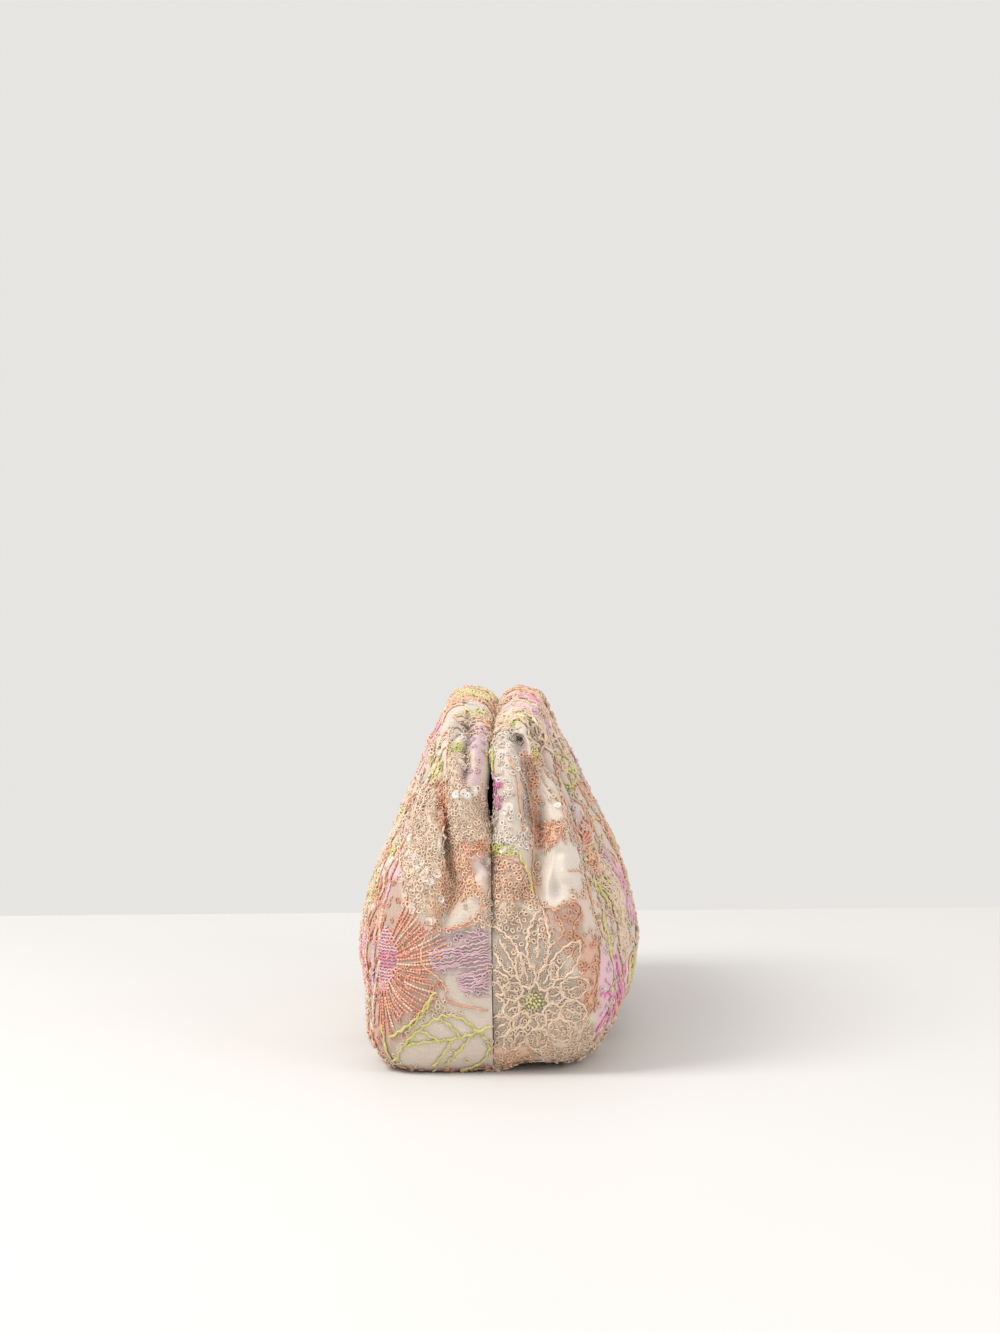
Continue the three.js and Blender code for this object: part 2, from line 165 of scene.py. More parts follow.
BACK_SHAPE = PanelShape(8.0, 4.0, -0.10, 0.00, (
    Fold(0.258, 0.020, 0.60, 0.02, 0.66, 0.15),
    Fold(0.324, 0.018, 0.55, 0.50, 0.84, 0.20),
    Fold(0.396, 0.023, 0.80, 0.40, 0.84, 0.20),
    Fold(0.482, 0.020, 0.55, 0.52, 0.84, 0.20),
    Fold(0.566, 0.023, 0.75, 0.40, 0.84, 0.20),
    Fold(0.650, 0.019, 0.60, 0.48, 0.84, 0.20),
    Fold(0.738, 0.020, 0.55, 0.12, 0.72, 0.15),
))


@dataclass
class RibPoints:
    """Points that the ribs of one end run through, from the hem in the mouth to the base seam."""

    at: list[np.ndarray] = field(default_factory=list)
    outward: list[np.ndarray] = field(default_factory=list)
    lip: list[float] = field(default_factory=list)
    body: list[float] = field(default_factory=list)

    def add(self, at: np.ndarray, outward: np.ndarray, lip: float, body: float) -> None:
        """Adds one point to every rib."""
        self.at.append(at)
        self.outward.append(outward)
        self.lip.append(lip)
        self.body.append(body)


@dataclass
class ClutchForm:
    """Shape of the closed clutch in millimetres, as the solids have it."""

    length: float = 290.0
    height: float = 140.0
    depth: float = 114.0
    wall: float = 2.0
    panel_gap: float = 0.6
    lip_length: float = 220.0
    lip_radius: float = 10.0
    arm_radius: float = 8.2
    lip_corner: float = 24.0
    hinge_height: float = 88.0
    wrap_height: float = 7.0
    ridge_foot: float = 56.0
    near_rise: float = 6.0
    far_rise: float = 9.0
    hem: float = 12.0
    hem_beside: float = 4.0
    crease: float = 3.0
    slit_width: float = 3.6
    slit_height: float = 107.0
    slit_span: float = 11.0
    fold_depth: float = 8.0
    seam_lift: float = 1.5
    lift_length: float = 30.0
    lift_width: float = 15.0
    foot_height: float = 26.0
    top_height: float = 98.0
    wrap_share: float = 0.11
    end_share: float = 0.30
    corner_share: float = 0.44
    ups: tuple[float, ...] = (0.0, 0.035, 0.1, 0.26, 0.43, 0.57, 0.7, 0.8, 0.92)
    plan: dict[str, tuple[float, ...]] = field(default_factory=lambda: {
        "long": (0.895, 0.94, 0.975, 1.0, 0.992, 0.968, 0.93, 0.893, 0.85),
        "end": (0.62, 0.72, 0.78, 0.8, 0.75, 0.66, 0.54, 0.44, 0.34),
        "mid": (0.68, 0.82, 0.93, 1.0, 0.93, 0.8, 0.66, 0.54, 0.4),
        "corner": (0.26, 0.3, 0.34, 0.36, 0.36, 0.34, 0.28, 0.2, 0.13),
    })
    body_rows: tuple[tuple[float, float], ...] = (
        (0.585, 0.79), (0.545, 0.69), (0.49, 0.57), (0.42, 0.44), (0.35, 0.36),
        (0.25, 0.26), (0.085, 0.085), (0.028, 0.028), (0.0, 0.0),
    )
    roll_rows: tuple[tuple[float, float, float], ...] = (
        (-90, 0.0, 3.0), (-45, 0.2, 2.0), (0, 0.45, 1.0), (45, 0.8, 0.0), (80, 1.0, -1.0),
    )

    def section(self, column: str, height: np.ndarray) -> np.ndarray:
        """Value of one column of the plan at each height, by a smooth curve through its rows."""
        ups = np.array(self.ups)
        values = np.array(self.plan[column])
        up = np.clip(np.asarray(height, float) / self.height, ups[0], ups[-1])
        i = np.clip(np.searchsorted(ups, up) - 1, 0, len(ups) - 2)
        before = np.maximum(i - 1, 0)
        after = np.minimum(i + 2, len(ups) - 1)
        span = ups[i + 1] - ups[i]
        slope_a = (values[i + 1] - values[before]) / (ups[i + 1] - ups[before]) * span
        slope_b = (values[after] - values[i]) / (ups[after] - ups[i]) * span
        s = (up - ups[i]) / span
        return ((2 * s**3 - 3 * s**2 + 1) * values[i] + (s**3 - 2 * s**2 + s) * slope_a
                + (3 * s**2 - 2 * s**3) * values[i + 1] + (s**3 - s**2) * slope_b)

    def half_gap(self, height: np.ndarray) -> np.ndarray:
        """Half the gap between the two halves at each height."""
        away = (height - self.slit_height) / self.slit_span
        return self.panel_gap / 2 + (self.slit_width - self.panel_gap) / 2 * np.exp(-(away**2) * 2)

    def lip_line(self, t: np.ndarray, rise: float) -> tuple[np.ndarray, np.ndarray]:
        """Outermost line of the rolled lip, in X and Z.

        Args:
            t: Shares of the way from the hinge (0) to the middle of the top (1).
            rise: How much higher the middle of the top is than its end.

        Returns:
            Points and the directions that they face.
        """
        reach = self.lip_length / 2
        top_angle = math.atan2(reach, 2 * rise)
        centre = np.array([
            reach - self.lip_corner * math.cos(top_angle),
            self.height - rise - self.lip_corner * math.sin(top_angle),
        ])
        hinge = np.array([
            float(self.section("long", self.hinge_height)) * self.length / 2,
            self.hinge_height,
        ])
        to_hinge = hinge - centre
        arm_angle = (math.atan2(to_hinge[1], to_hinge[0])
                     + math.acos(self.lip_corner / float(np.linalg.norm(to_hinge))))
        turn = np.clip((t - self.end_share) / (self.corner_share - self.end_share), 0, 1)
        angle = lerp(arm_angle, top_angle, turn)
        facing = np.stack([np.cos(angle), np.sin(angle)], axis=-1)
        point = centre + facing * self.lip_corner
        arm_top = centre + self.lip_corner * np.array([math.cos(arm_angle), math.sin(arm_angle)])
        wrap = self.wrap_height / (arm_top[1] - self.hinge_height)
        share = np.where(
            t < self.wrap_share,
            wrap * t / self.wrap_share,
            lerp(wrap, 1.0, (t - self.wrap_share) / (self.end_share - self.wrap_share)),
        )
        arm = hinge + (arm_top - hinge) * share[:, None]
        point = np.where((t < self.end_share)[:, None], arm, point)
        x = reach * (1 - (t - self.corner_share) / (1 - self.corner_share))
        top = np.stack([x, self.height - rise * (x / reach) ** 2], axis=-1)
        top_facing = unit(np.stack([2 * rise * x / reach**2, np.ones_like(x)], axis=-1))
        on_top = (t >= self.corner_share)[:, None]
        return np.where(on_top, top, point), np.where(on_top, top_facing, facing)

    def roll_radius(self, t: np.ndarray) -> np.ndarray:
        """Radius of the rolled lip."""
        return lerp(self.arm_radius, self.lip_radius, smoothstep(t, self.end_share, 0.6))

    def wrap_angle(self, t: np.ndarray, angle: float) -> np.ndarray:
        """How far round the bar the lip goes, in radians, beside the seam and beyond."""
        return np.radians(lerp(-90.0, angle, np.minimum(t / self.wrap_share, 1)))

    def body_point(self, t: np.ndarray, height: np.ndarray, valley: float) -> np.ndarray:
        """Points of the cloth below the lip, on the plan at their heights."""
        gap = self.panel_gap / 2
        long = self.section("long", height) * self.length / 2
        end = self.section("end", height) * self.depth / 2
        mid = self.section("mid", height) * self.depth / 2
        corner = self.section("corner", height) * self.depth / 2
        beside_arm = 2 * self.arm_radius + self.panel_gap + valley
        ridged = smoothstep(height, self.ridge_foot, self.hinge_height)
        flat_y = lerp(gap, end - corner, t / self.end_share)
        turn = self.wrap_angle(t, self.roll_rows[-1][0])
        outer_y = np.maximum(end - corner, beside_arm)
        across = np.maximum(t - self.wrap_share, 0) / (self.end_share - self.wrap_share)
        ridge_x = lerp(long + self.arm_radius * (np.cos(turn) - 1), long, smoothstep(across, 0.35, 1))
        ridge_y = lerp(gap + self.arm_radius * (1 + np.sin(turn)), outer_y, across)
        end_face = np.stack(
            [lerp(long, ridge_x, ridged), lerp(flat_y, ridge_y, ridged), height], axis=-1)
        turned = np.clip((t - self.end_share) / (self.corner_share - self.end_share), 0, 1) * math.pi / 2
        start = lerp(end - corner, outer_y, ridged)
        round_corner = np.stack([
            long - corner * (1 - np.cos(turned)),
            start + (end - start) * np.sin(turned),
            height,
        ], axis=-1)
        along = 1 - (t - self.corner_share) / (1 - self.corner_share)
        side = np.stack([(long - corner) * along, lerp(mid, end, along**2), height], axis=-1)
        near = np.where((t < self.corner_share)[:, None], round_corner, side)
        return np.where((t < self.end_share)[:, None], end_face, near)

    def base_point(self, t: np.ndarray) -> np.ndarray:
        """Points of the base seam, under the middle."""
        long = float(self.section("long", 0)) * self.length / 2
        spine = long - float(self.section("end", 0)) * self.depth / 2
        x = np.where(
            t < self.corner_share,
            lerp(long - self.wall, spine, t / self.corner_share),
            spine * (1 - (t - self.corner_share) / (1 - self.corner_share)),
        )
        return np.stack([x, np.full_like(x, self.panel_gap / 2), np.zeros_like(x)], axis=-1)

    def rib_points(self, t: np.ndarray, rise: float, valley: float) -> RibPoints:
        """The points that the ribs at the shares t run through, from the hem to the base seam."""
        found = RibPoints()
        line, facing = self.lip_line(t, rise)
        radius = self.roll_radius(t)
        closing = 1 - np.minimum(t / self.wrap_share, 1)
        hem = self.hem * smoothstep(t, 0, self.end_share)
        rows = [(-90, 0.0, self.hem_beside, hem)]
        rows += [(angle, fold, beside, 0 * t) for angle, fold, beside in self.roll_rows]
        for angle, fold, beside, inward in rows:
            turn = self.wrap_angle(t, angle)
            place = line + facing * (radius * (np.cos(turn) - 1) - inward)[:, None]
            y = self.half_gap(place[:, 1]) + radius * (1 + np.sin(turn))
            at = np.stack([place[:, 0], y, place[:, 1] + beside * closing], axis=-1)
            outward = np.stack(
                [facing[:, 0] * np.cos(turn), np.sin(turn), facing[:, 1] * np.cos(turn)], axis=-1)
            found.add(at, outward, fold, 0.0)
        turned = np.clip((t - self.end_share) / (self.corner_share - self.end_share), 0, 1) * math.pi / 2
        outward = np.stack([np.cos(turned), np.sin(turned), np.zeros_like(t)], axis=-1)
        below = np.minimum(t / self.corner_share, 1) ** 2
        body = [self.body_point(t, lerp(side, full, below) * self.height, valley)
                for side, full in self.body_rows]
        dip = (self.crease
               * smoothstep(t, self.wrap_share, (self.wrap_share + self.end_share) / 2)
               * (1 - smoothstep(t, self.corner_share, 0.6)))
        found.add(lerp(found.at[-1], body[0], 0.4) - outward * dip[:, None], outward, 0.5, 0.5)
        for points in body:
            found.add(points, outward, 0.0, 1.0)
        seam = self.base_point(t)
        found.add(lerp(body[-1], seam, 0.35), outward, 0.0, 0.0)
        found.add(seam, outward, 0.0, 0.0)
        return found

    @staticmethod
    def curve(points: list[np.ndarray], i: int, share: float) -> np.ndarray:
        """A place on the smooth curve through points, a share of the way past point i."""
        p1, p2 = points[i], points[i + 1]
        p0 = points[i - 1] if i > 0 else 2 * p1 - p2
        p3 = points[i + 2] if i + 2 < len(points) else 2 * p2 - p1
        gaps = [np.sum((b - a) ** 2, axis=-1, keepdims=True) ** 0.25
                for a, b in ((p0, p1), (p1, p2), (p2, p3))]
        middle = np.where(gaps[1] < 1e-4, 1.0, gaps[1])
        first = np.where(gaps[0] < 1e-4, middle, gaps[0])
        last = np.where(gaps[2] < 1e-4, middle, gaps[2])
        into = ((p1 - p0) / first - (p2 - p0) / (first + middle) + (p2 - p1) / middle) * middle
        out = ((p2 - p1) / middle - (p3 - p1) / (middle + last) + (p3 - p2) / last) * middle
        square = -3 * p1 + 3 * p2 - 2 * into - out
        cube = 2 * p1 - 2 * p2 + into + out
        return p1 + into * share + square * share**2 + cube * share**3


@dataclass
class Gathers:
    """Small folds of the cloth that the solids leave out, all in millimetres."""

    relax: int = 8
    pleat_depth: float = 2.7
    pleat_pitch: float = 12.5
    pleat_reach: float = 66.0
    sag: float = 0.55
    sag_size: float = 26.0
    crumple: float = 0.22
    crumple_size: float = 8.0
    pucker: float = 0.4
    pucker_size: float = 7.0
    pucker_reach: float = 5.0


@dataclass(frozen=True)
class Crease:
    """A crease pressed into the near end, along a line as seen from there; or raised, below 0."""

    depth: float
    width: float
    points: Points


@dataclass
class NearView:
    """The view from which the near end is laid out, in millimetres at the near end.

    Right is measured from the side seam and up from its foot, as the camera sees them.
    """

    focal: float = 3940.0
    height: float = 0.2592
    near: float = 1.526
    seam_x: float = 0.130
    azimuth: float = math.radians(91.2)
    roll: float = math.radians(-0.66)
    frame_size: tuple[float, float] = (1000.0, 1333.0)
    horizon: float = 407.0
    seam_px: float = 489.5
    scale: float = 2.58
    foot: tuple[float, float] = (491.0, 1072.0)

    def place(self) -> tuple[Vector, Quaternion]:
        """Where the camera stands, in metres, and how it is turned."""
        away = Vector((-math.sin(self.azimuth), math.cos(self.azimuth), 0))
        right = away.cross(Vector((0, 0, 1)))
        centre = self.frame_size[0] / 2
        at = Vector((self.seam_x, 0, 0)) - away * self.near
        at -= right * ((self.seam_px - centre) / self.focal * self.near)
        at.z = self.height
        pitch = math.atan((self.frame_size[1] / 2 - self.horizon) / self.focal)
        look = away * math.cos(pitch) - Vector((0, 0, 1)) * math.sin(pitch)
        turn = look.to_track_quat("-Z", "Y") @ Quaternion((0, 0, 1), self.roll)
        return at, turn

    def see(self, points: np.ndarray) -> tuple[np.ndarray, np.ndarray]:
        """Where places in millimetres are seen.

        Returns:
            Right and up in millimetres of the near end, and the distance in millimetres.
        """
        at, turn = self.place()
        axes = np.array(turn.to_matrix())
        seen = (points - np.array(at) / MM) @ axes
        away = -seen[..., 2]
        px = self.frame_size[0] / 2 + self.focal * seen[..., 0] / away
        py = self.frame_size[1] / 2 - self.focal * seen[..., 1] / away
        right = (px - self.foot[0]) / self.scale
        up = (self.foot[1] - py) / self.scale
        return np.stack([right, up], axis=-1), away


FOLD_SEEDS = {Half.FRONT: 11, Half.BACK: 23}


@dataclass
class Cloth:
    """The outer face of one panel as a fine grid, and the ways to find a place on it."""

    form: ClutchForm
    half: Half
    shape: PanelShape
    view: NearView
    gathers: Gathers
    creases: dict[Half, tuple[Crease, ...]]
    near_columns: tuple[int, int, int] = (20, 46, 34)
    far_columns: tuple[int, int, int] = (12, 26, 20)
    side_columns: int = 58
    row_pitch: float = 1.05
    low_row_pitch: float = 1.7
    low_rows: int = 11
    fold_shade: float = 0.5
    crease_from: tuple[float, float] = (50.0, 66.0)
    near_end_from: tuple[float, float] = (92.0, 98.0)
    in_view_from: float = 84.0

    def __post_init__(self) -> None:
        """Works out the grid and its directions."""
        face = self._face(self._shares(self.near_columns), self._shares(self.far_columns))
        self.points = self._dress(face)
        self._measure()

    def _shares(self, columns: tuple[int, int, int]) -> np.ndarray:
        """Shares from the side seam to halfway along at which the ribs stand."""
        form = self.form
        stops = (0, form.wrap_share, form.end_share, form.corner_share)
        parts = [np.linspace(a, b, count, endpoint=False)
                 for a, b, count in zip(stops[:-1], stops[1:], columns)]
        return np.concatenate([*parts, np.linspace(form.corner_share, 1, self.side_columns + 1)])

    def _face(self, near_shares: np.ndarray, far_shares: np.ndarray) -> np.ndarray:
        """The outer face as the solids have it, with y of 0 or more."""
        form, shape = self.form, self.shape
        ends = [form.rib_points(near_shares, form.near_rise, shape.valley),
                form.rib_points(far_shares, form.far_rise, shape.valley)]
        spans = len(ends[0].at) - 1
        lengths = [float(np.mean([np.linalg.norm(e.at[i + 1] - e.at[i], axis=-1).mean() for e in ends]))
                   for i in range(spans)]
        pitches = [self.row_pitch if i < self.low_rows else self.low_row_pitch for i in range(spans)]
        steps = [max(2, round(length / pitch)) for length, pitch in zip(lengths, pitches)]
        steps[-1] += sum(steps) % 2
        sides = []
        for end in ends:
            rows = [(end.at[0], end.outward[0], end.lip[0], end.body[0])]
            for i, count in enumerate(steps):
                for k in range(1, count + 1):
                    share = k / count
                    rows.append((
                        form.curve(end.at, i, share),
                        unit(lerp(end.outward[i], end.outward[i + 1], share)),
                        lerp(end.lip[i], end.lip[i + 1], share),
                        lerp(end.body[i], end.body[i + 1], share),
                    ))
            sides.append(rows)
        near, far = sides
        at = np.stack([np.concatenate([n[0], f[0][-2::-1] * (-1, 1, 1)]) for n, f in zip(near, far)], axis=1)
        outward = np.stack(
            [np.concatenate([n[1], f[1][-2::-1] * (-1, 1, 1)]) for n, f in zip(near, far)], axis=1)
        self.shares = np.concatenate([near_shares / 2, (1 - far_shares / 2)[-2::-1]])
        lip = np.array([row[2] for row in near])
        body = np.array([row[3] for row in near])
        depth = np.zeros(at.shape[:2])
        for fold in shape.folds:
            across = np.exp(-(((self.shares - fold.at) / fold.width) ** 2))[:, None]
            reach = smoothstep(at[..., 2] / form.height, fold.foot, fold.full)
            depth += fold.depth * across * (body * reach + lip * fold.roll)
        moved = at - outward * (depth * form.fold_depth)[..., None]
        base = float(form.section("long", 0)) * form.length / 2
        raised = (lerp(form.seam_lift, shape.lift, smoothstep(moved[..., 1], 0, form.lift_width))
                  * smoothstep(moved[..., 0], base - form.lift_length, base))
        moved[..., 2] = np.maximum(moved[..., 2], 0)
        moved[..., 2] += raised * (1 - smoothstep(moved[..., 2], 0, form.hinge_height))
        moved[..., 1] *= (1 + shape.foot * (1 - smoothstep(moved[..., 2], 0, form.foot_height))
                          + shape.top * smoothstep(moved[..., 2], form.top_height,
                                                   form.height - form.lip_radius))
        moved[..., 1] = np.maximum(moved[..., 1], form.panel_gap / 2)
        self.lip_share = lip
        self.body_share = body
        return moved

    def _normals(self, points: np.ndarray) -> np.ndarray:
        """Outward directions of a grid that has y of 0 or more."""
        along = np.gradient(points, axis=0)
        down = np.gradient(points, axis=1)
        normals = np.cross(down, along)
        normals[:, -1] = (0, 0, -1)
        normals[0, :, 1] = 0
        normals[-1, :, 1] = 0
        return unit(normals)

    @staticmethod
    def _relax(points: np.ndarray, rounds: int) -> np.ndarray:
        """Evens out the grid, its borders apart."""
        points = points.copy()
        for _ in range(rounds):
            middle = (points[:-2, 1:-1] + points[2:, 1:-1] + points[1:-1, :-2] + points[1:-1, 2:]) / 4
            points[1:-1, 1:-1] += (middle - points[1:-1, 1:-1]) * 0.5
        return points

    def _dress(self, face: np.ndarray) -> np.ndarray:
        """Adds the small folds, and mirrors the front panel to its own side."""
        form, gathers = self.form, self.gathers
        face = self._relax(face, gathers.relax)
        normals = self._normals(face)
        from_seam = np.minimum(self.shares, 1 - self.shares)
        belt = np.concatenate([[0], np.cumsum(np.linalg.norm(np.diff(face[:, face.shape[1] // 2], axis=0),
                                                             axis=-1))])
        seed = FOLD_SEEDS[self.half]
        wander = ripple(face, 70, seed)
        phase = belt[:, None] / gathers.pleat_pitch * 2 * math.pi + wander * 5.5
        pleats = 0.5 + 0.5 * np.sin(phase)
        uneven = np.clip(0.55 + 0.75 * ripple(face * (1, 1, 0.25), 30, seed + 5), 0, 1.4)
        below = form.height - face[..., 2]
        pleat_share = (np.clip(1 - below / gathers.pleat_reach, 0, 1) ** 0.8
                       * smoothstep(self.body_share + 0.45 * self.lip_share, 0.1, 0.9)
                       * smoothstep(from_seam, 0.13, 0.24)[:, None])
        move = -gathers.pleat_depth * pleat_share * pleats**2 * uneven * 1.6
        soft = smoothstep(face[..., 2], 0.5, 12) * (self.body_share + 0.4 * self.lip_share)
        move += gathers.sag * ripple(face, gathers.sag_size, seed + 1) * soft
        move += gathers.crumple * ripple(face, gathers.crumple_size, seed + 2) * soft
        beside_seam = np.concatenate([[0], np.cumsum(np.linalg.norm(
            np.diff(face[:, -face.shape[1] // 4], axis=0), axis=-1))])
        beside_seam = np.minimum(beside_seam, beside_seam[-1] - beside_seam)[:, None]
        puckers = ripple(face * (1, 1, 1.6), gathers.pucker_size, seed + 3)
        move += (gathers.pucker * puckers * np.exp(-(beside_seam / gathers.pucker_reach) ** 2)
                 * smoothstep(beside_seam, 0, 1.5) * self.body_share)
        seam_dip = 1.1 * np.exp(-(beside_seam / 2.2) ** 2) * smoothstep(face[..., 2], 2, 14)
        move -= seam_dip * self.body_share * (from_seam < 0.2)[:, None]
        side = np.array([1.0, self.half.value, 1.0])
        near = self._creased(face, normals, self.half, side)
        far = self._creased(face, normals, Half(-self.half.value), side * (-1, -1, 1))
        sunk = -((near + far) * normals).sum(-1) - move
        # Painted shade: the colour of the cloth, and of the stitches on it, is darkened where creases and
        # gathers sink the cloth.
        self.shade = 1 - self.fold_shade * smoothstep(sunk, 0.8, 5.0)[..., None]
        points = face + normals * move[..., None] + near + far
        points = self._relax(points, 2)
        points[..., 1] -= 0.15 * np.exp(-(beside_seam / 1.2) ** 2) * (from_seam < 0.2)[:, None]
        points[..., 1] = np.maximum(points[..., 1], form.panel_gap / 4)
        points[..., 2] = np.maximum(points[..., 2], 0)
        return points * side

    def _creased(self, face: np.ndarray, normals: np.ndarray, half: Half,
                 side: np.ndarray) -> np.ndarray:
        """How the creases of one half move each point.

        Args:
            face: Points of the grid, with y of 0 or more.
            normals: Outward directions there.
            half: The half whose creases are pressed in.
            side: Signs that bring the points to where the near view sees that half.
        """
        at = face * side
        seen, _ = self.view.see(at)
        ways = unit(at - np.array(self.view.place()[0]) / MM)
        facing = self._relax(-(ways * normals * side).sum(-1, keepdims=True), 6)
        press = sum(self._pressed(crease, seen) for crease in self.creases[half])
        press = press[..., None] * smoothstep(facing, 0.0, 0.25) * smoothstep(at[..., :1], *self.crease_from)
        inward = lerp(-normals * side, ways, smoothstep(facing, 0.15, 0.55))
        return unit(inward) * side * press

    @staticmethod
    def _pressed(crease: Crease, seen: np.ndarray) -> np.ndarray:
        """How deep one crease presses each point, away from the near view."""
        line = np.array(crease.points)
        far = np.full(seen.shape[:2], 1e9)
        along = np.zeros(seen.shape[:2])
        total = np.linalg.norm(np.diff(line, axis=0), axis=1).sum()
        run = 0.0
        for a, b in zip(line[:-1], line[1:]):
            step = b - a
            length = float(np.linalg.norm(step))
            share = np.clip(((seen - a) @ step) / length**2, 0, 1)
            gap = np.linalg.norm(seen - (a + share[..., None] * step), axis=-1)
            closer = gap < far
            far = np.where(closer, gap, far)
            along = np.where(closer, (run + share * length) / total, along)
            run += length
        taper = smoothstep(along, -0.05, 0.18) * (1 - smoothstep(along, 0.8, 1.05))
        return crease.depth * np.exp(-(far / crease.width) ** 2) * taper

    def _measure(self) -> None:
        """Works out normals, directions and lengths over the finished grid."""
        side = np.array([1.0, self.half.value, 1.0])
        self.normals = self._normals(self.points * side) * side
        across = unit(np.gradient(self.points, axis=0)) * self.half.value
        self.across = unit(across - self.normals * (across * self.normals).sum(-1, keepdims=True))
        self.up = np.cross(self.normals, self.across)
        self.columns, self.rows = self.points.shape[:2]
        steps = np.linalg.norm(np.diff(self.points, axis=0), axis=-1)
        self.along = np.concatenate([np.zeros((1, self.rows)), np.cumsum(steps, axis=0)])
        steps = np.linalg.norm(np.diff(self.points, axis=1), axis=-1)
        self.down = np.concatenate([np.zeros((self.columns, 1)), np.cumsum(steps, axis=1)], axis=1)
        self.seen, self.away = self.view.see(self.points)
        at = np.array(self.view.place()[0]) / MM
        facing = (self.normals * unit(at - self.points)).sum(-1)
        self.in_view = (facing > 0.06) & (self.points[..., 0] > self.in_view_from)
        self.near_end = smoothstep(facing, 0.1, 0.2) * smoothstep(self.points[..., 0], *self.near_end_from)

    def sample(self, grid: np.ndarray, ij: np.ndarray) -> np.ndarray:
        """Values of a grid at fractional places."""
        i = np.clip(ij[:, 0], 0, self.columns - 1.001)
        j = np.clip(ij[:, 1], 0, self.rows - 1.001)
        i0, j0 = i.astype(int), j.astype(int)
        fi, fj = i - i0, j - j0
        if grid.ndim == 3:
            fi, fj = fi[:, None], fj[:, None]
        low = grid[i0, j0] * (1 - fj) + grid[i0, j0 + 1] * fj
        high = grid[i0 + 1, j0] * (1 - fj) + grid[i0 + 1, j0 + 1] * fj
        return low * (1 - fi) + high * fi

    def walk(self, anchor: tuple[int, int], steps: np.ndarray) -> tuple[np.ndarray, np.ndarray]:
        """Grid places reached from an anchor, by lengths on the cloth to the right and up.

        Args:
            anchor: Column and row of the grid.
            steps: Right and up in millimetres, one row for each place.

        Returns:
            Fractional grid places, and whether each is on the panel.
        """
        i0, j0 = anchor
        column = self.down[i0]
        target = column[j0] - steps[:, 1]
        j = np.interp(target, column, np.arange(self.rows))
        low = np.minimum(j.astype(int), self.rows - 2)
        lines = self.along[:, low] * (1 - (j - low)) + self.along[:, low + 1] * (j - low)
        wanted = lines[i0] + self.half.value * steps[:, 0]
        picks = np.arange(len(j))
        i = np.clip((lines < wanted).sum(axis=0) - 1, 0, self.columns - 2)
        share = (wanted - lines[i, picks]) / (lines[i + 1, picks] - lines[i, picks])
        on = ((target > 0.5) & (target < column[-1] - 0.5)
              & (wanted > 0.8) & (wanted < lines[-1] - 0.8))
        return np.stack([i + share, j], axis=-1), on

    def find_seen(self, spots: np.ndarray) -> tuple[np.ndarray, np.ndarray]:
        """Grid places that are seen at places of the near view.

        Args:
            spots: Right and up in the near view, one row for each place.

        Returns:
            Fractional grid places, and whether each is on the cloth.
        """
        picks = np.argwhere(self.in_view)
        seen = self.seen[self.in_view]
        away = self.away[self.in_view] * 0.05
        found = np.zeros((len(spots), 2))
        on = np.zeros(len(spots), bool)
        for start in range(0, len(spots), 400):
            part = spots[start:start + 400]
            gaps = ((part[:, None] - seen[None]) ** 2).sum(-1)
            best = (gaps + away).argmin(axis=1)
            found[start:start + 400] = picks[best]
            on[start:start + 400] = gaps[np.arange(len(part)), best] < SEEN_WITHIN**2
        i = np.clip(found[:, 0].astype(int), 1, self.columns - 2)
        j = np.clip(found[:, 1].astype(int), 1, self.rows - 2)
        di = (self.seen[i + 1, j] - self.seen[i - 1, j]) / 2
        dj = (self.seen[i, j + 1] - self.seen[i, j - 1]) / 2
        miss = spots - self.seen[i, j]
        size = di[:, 0] * dj[:, 1] - di[:, 1] * dj[:, 0]
        size = np.where(np.abs(size) < 0.05, np.inf, size)
        step_i = (miss[:, 0] * dj[:, 1] - miss[:, 1] * dj[:, 0]) / size
        step_j = (di[:, 0] * miss[:, 1] - di[:, 1] * miss[:, 0]) / size
        found = np.stack([i + np.clip(step_i, -1.2, 1.2), j + np.clip(step_j, -1.2, 1.2)], axis=-1)
        return found, on

    def anchor(self, right: float, up: float) -> tuple[int, int]:
        """The grid point seen at a place of the near view."""
        found, _ = self.find_seen(np.array([[right, up]]))
        return int(round(found[0, 0])), int(round(found[0, 1]))


class Chart:
    """A flat sheet of the embroidery's plan, laid on the cloth."""

    def place(self, flat: np.ndarray) -> tuple[np.ndarray, np.ndarray]:
        """Grid places of places of the plan, and whether each is on the panel."""
        raise NotImplementedError

    def spread(self) -> np.ndarray:
        """Places of the plan at each point of the grid."""
        raise NotImplementedError


@dataclass
class SeenChart(Chart):
    """The plan as it is seen from the near end."""

    cloth: Cloth

    def place(self, flat: np.ndarray) -> tuple[np.ndarray, np.ndarray]:
        """Grid places seen at places of the plan."""
        return self.cloth.find_seen(flat)

    def spread(self) -> np.ndarray:
        """Where each point of the grid is seen; hidden points are far off the plan."""
        hidden = ~self.cloth.in_view[..., None]
        return np.where(hidden, 1e6, self.cloth.seen)


@dataclass
class LaidChart(Chart):
    """The plan laid on the cloth at its true lengths, round an anchor, and turned."""

    cloth: Cloth
    anchor: tuple[int, int]
    turn: float = 0.0

    def place(self, flat: np.ndarray) -> tuple[np.ndarray, np.ndarray]:
        """Grid places of places of the plan."""
        c, s = math.cos(self.turn), math.sin(self.turn)
        turned = np.stack([flat[:, 0] * c - flat[:, 1] * s, flat[:, 0] * s + flat[:, 1] * c], axis=-1)
        return self.cloth.walk(self.anchor, turned)

    def spread(self) -> np.ndarray:
        """Places of the plan at each point of the grid."""
        cloth = self.cloth
        i0, j0 = self.anchor
        right = (cloth.along - cloth.along[i0]) * cloth.half.value
        up = np.broadcast_to(cloth.down[i0, j0] - cloth.down[i0], right.shape)
        c, s = math.cos(-self.turn), math.sin(-self.turn)
        return np.stack([right * c - up * s, right * s + up * c], axis=-1)


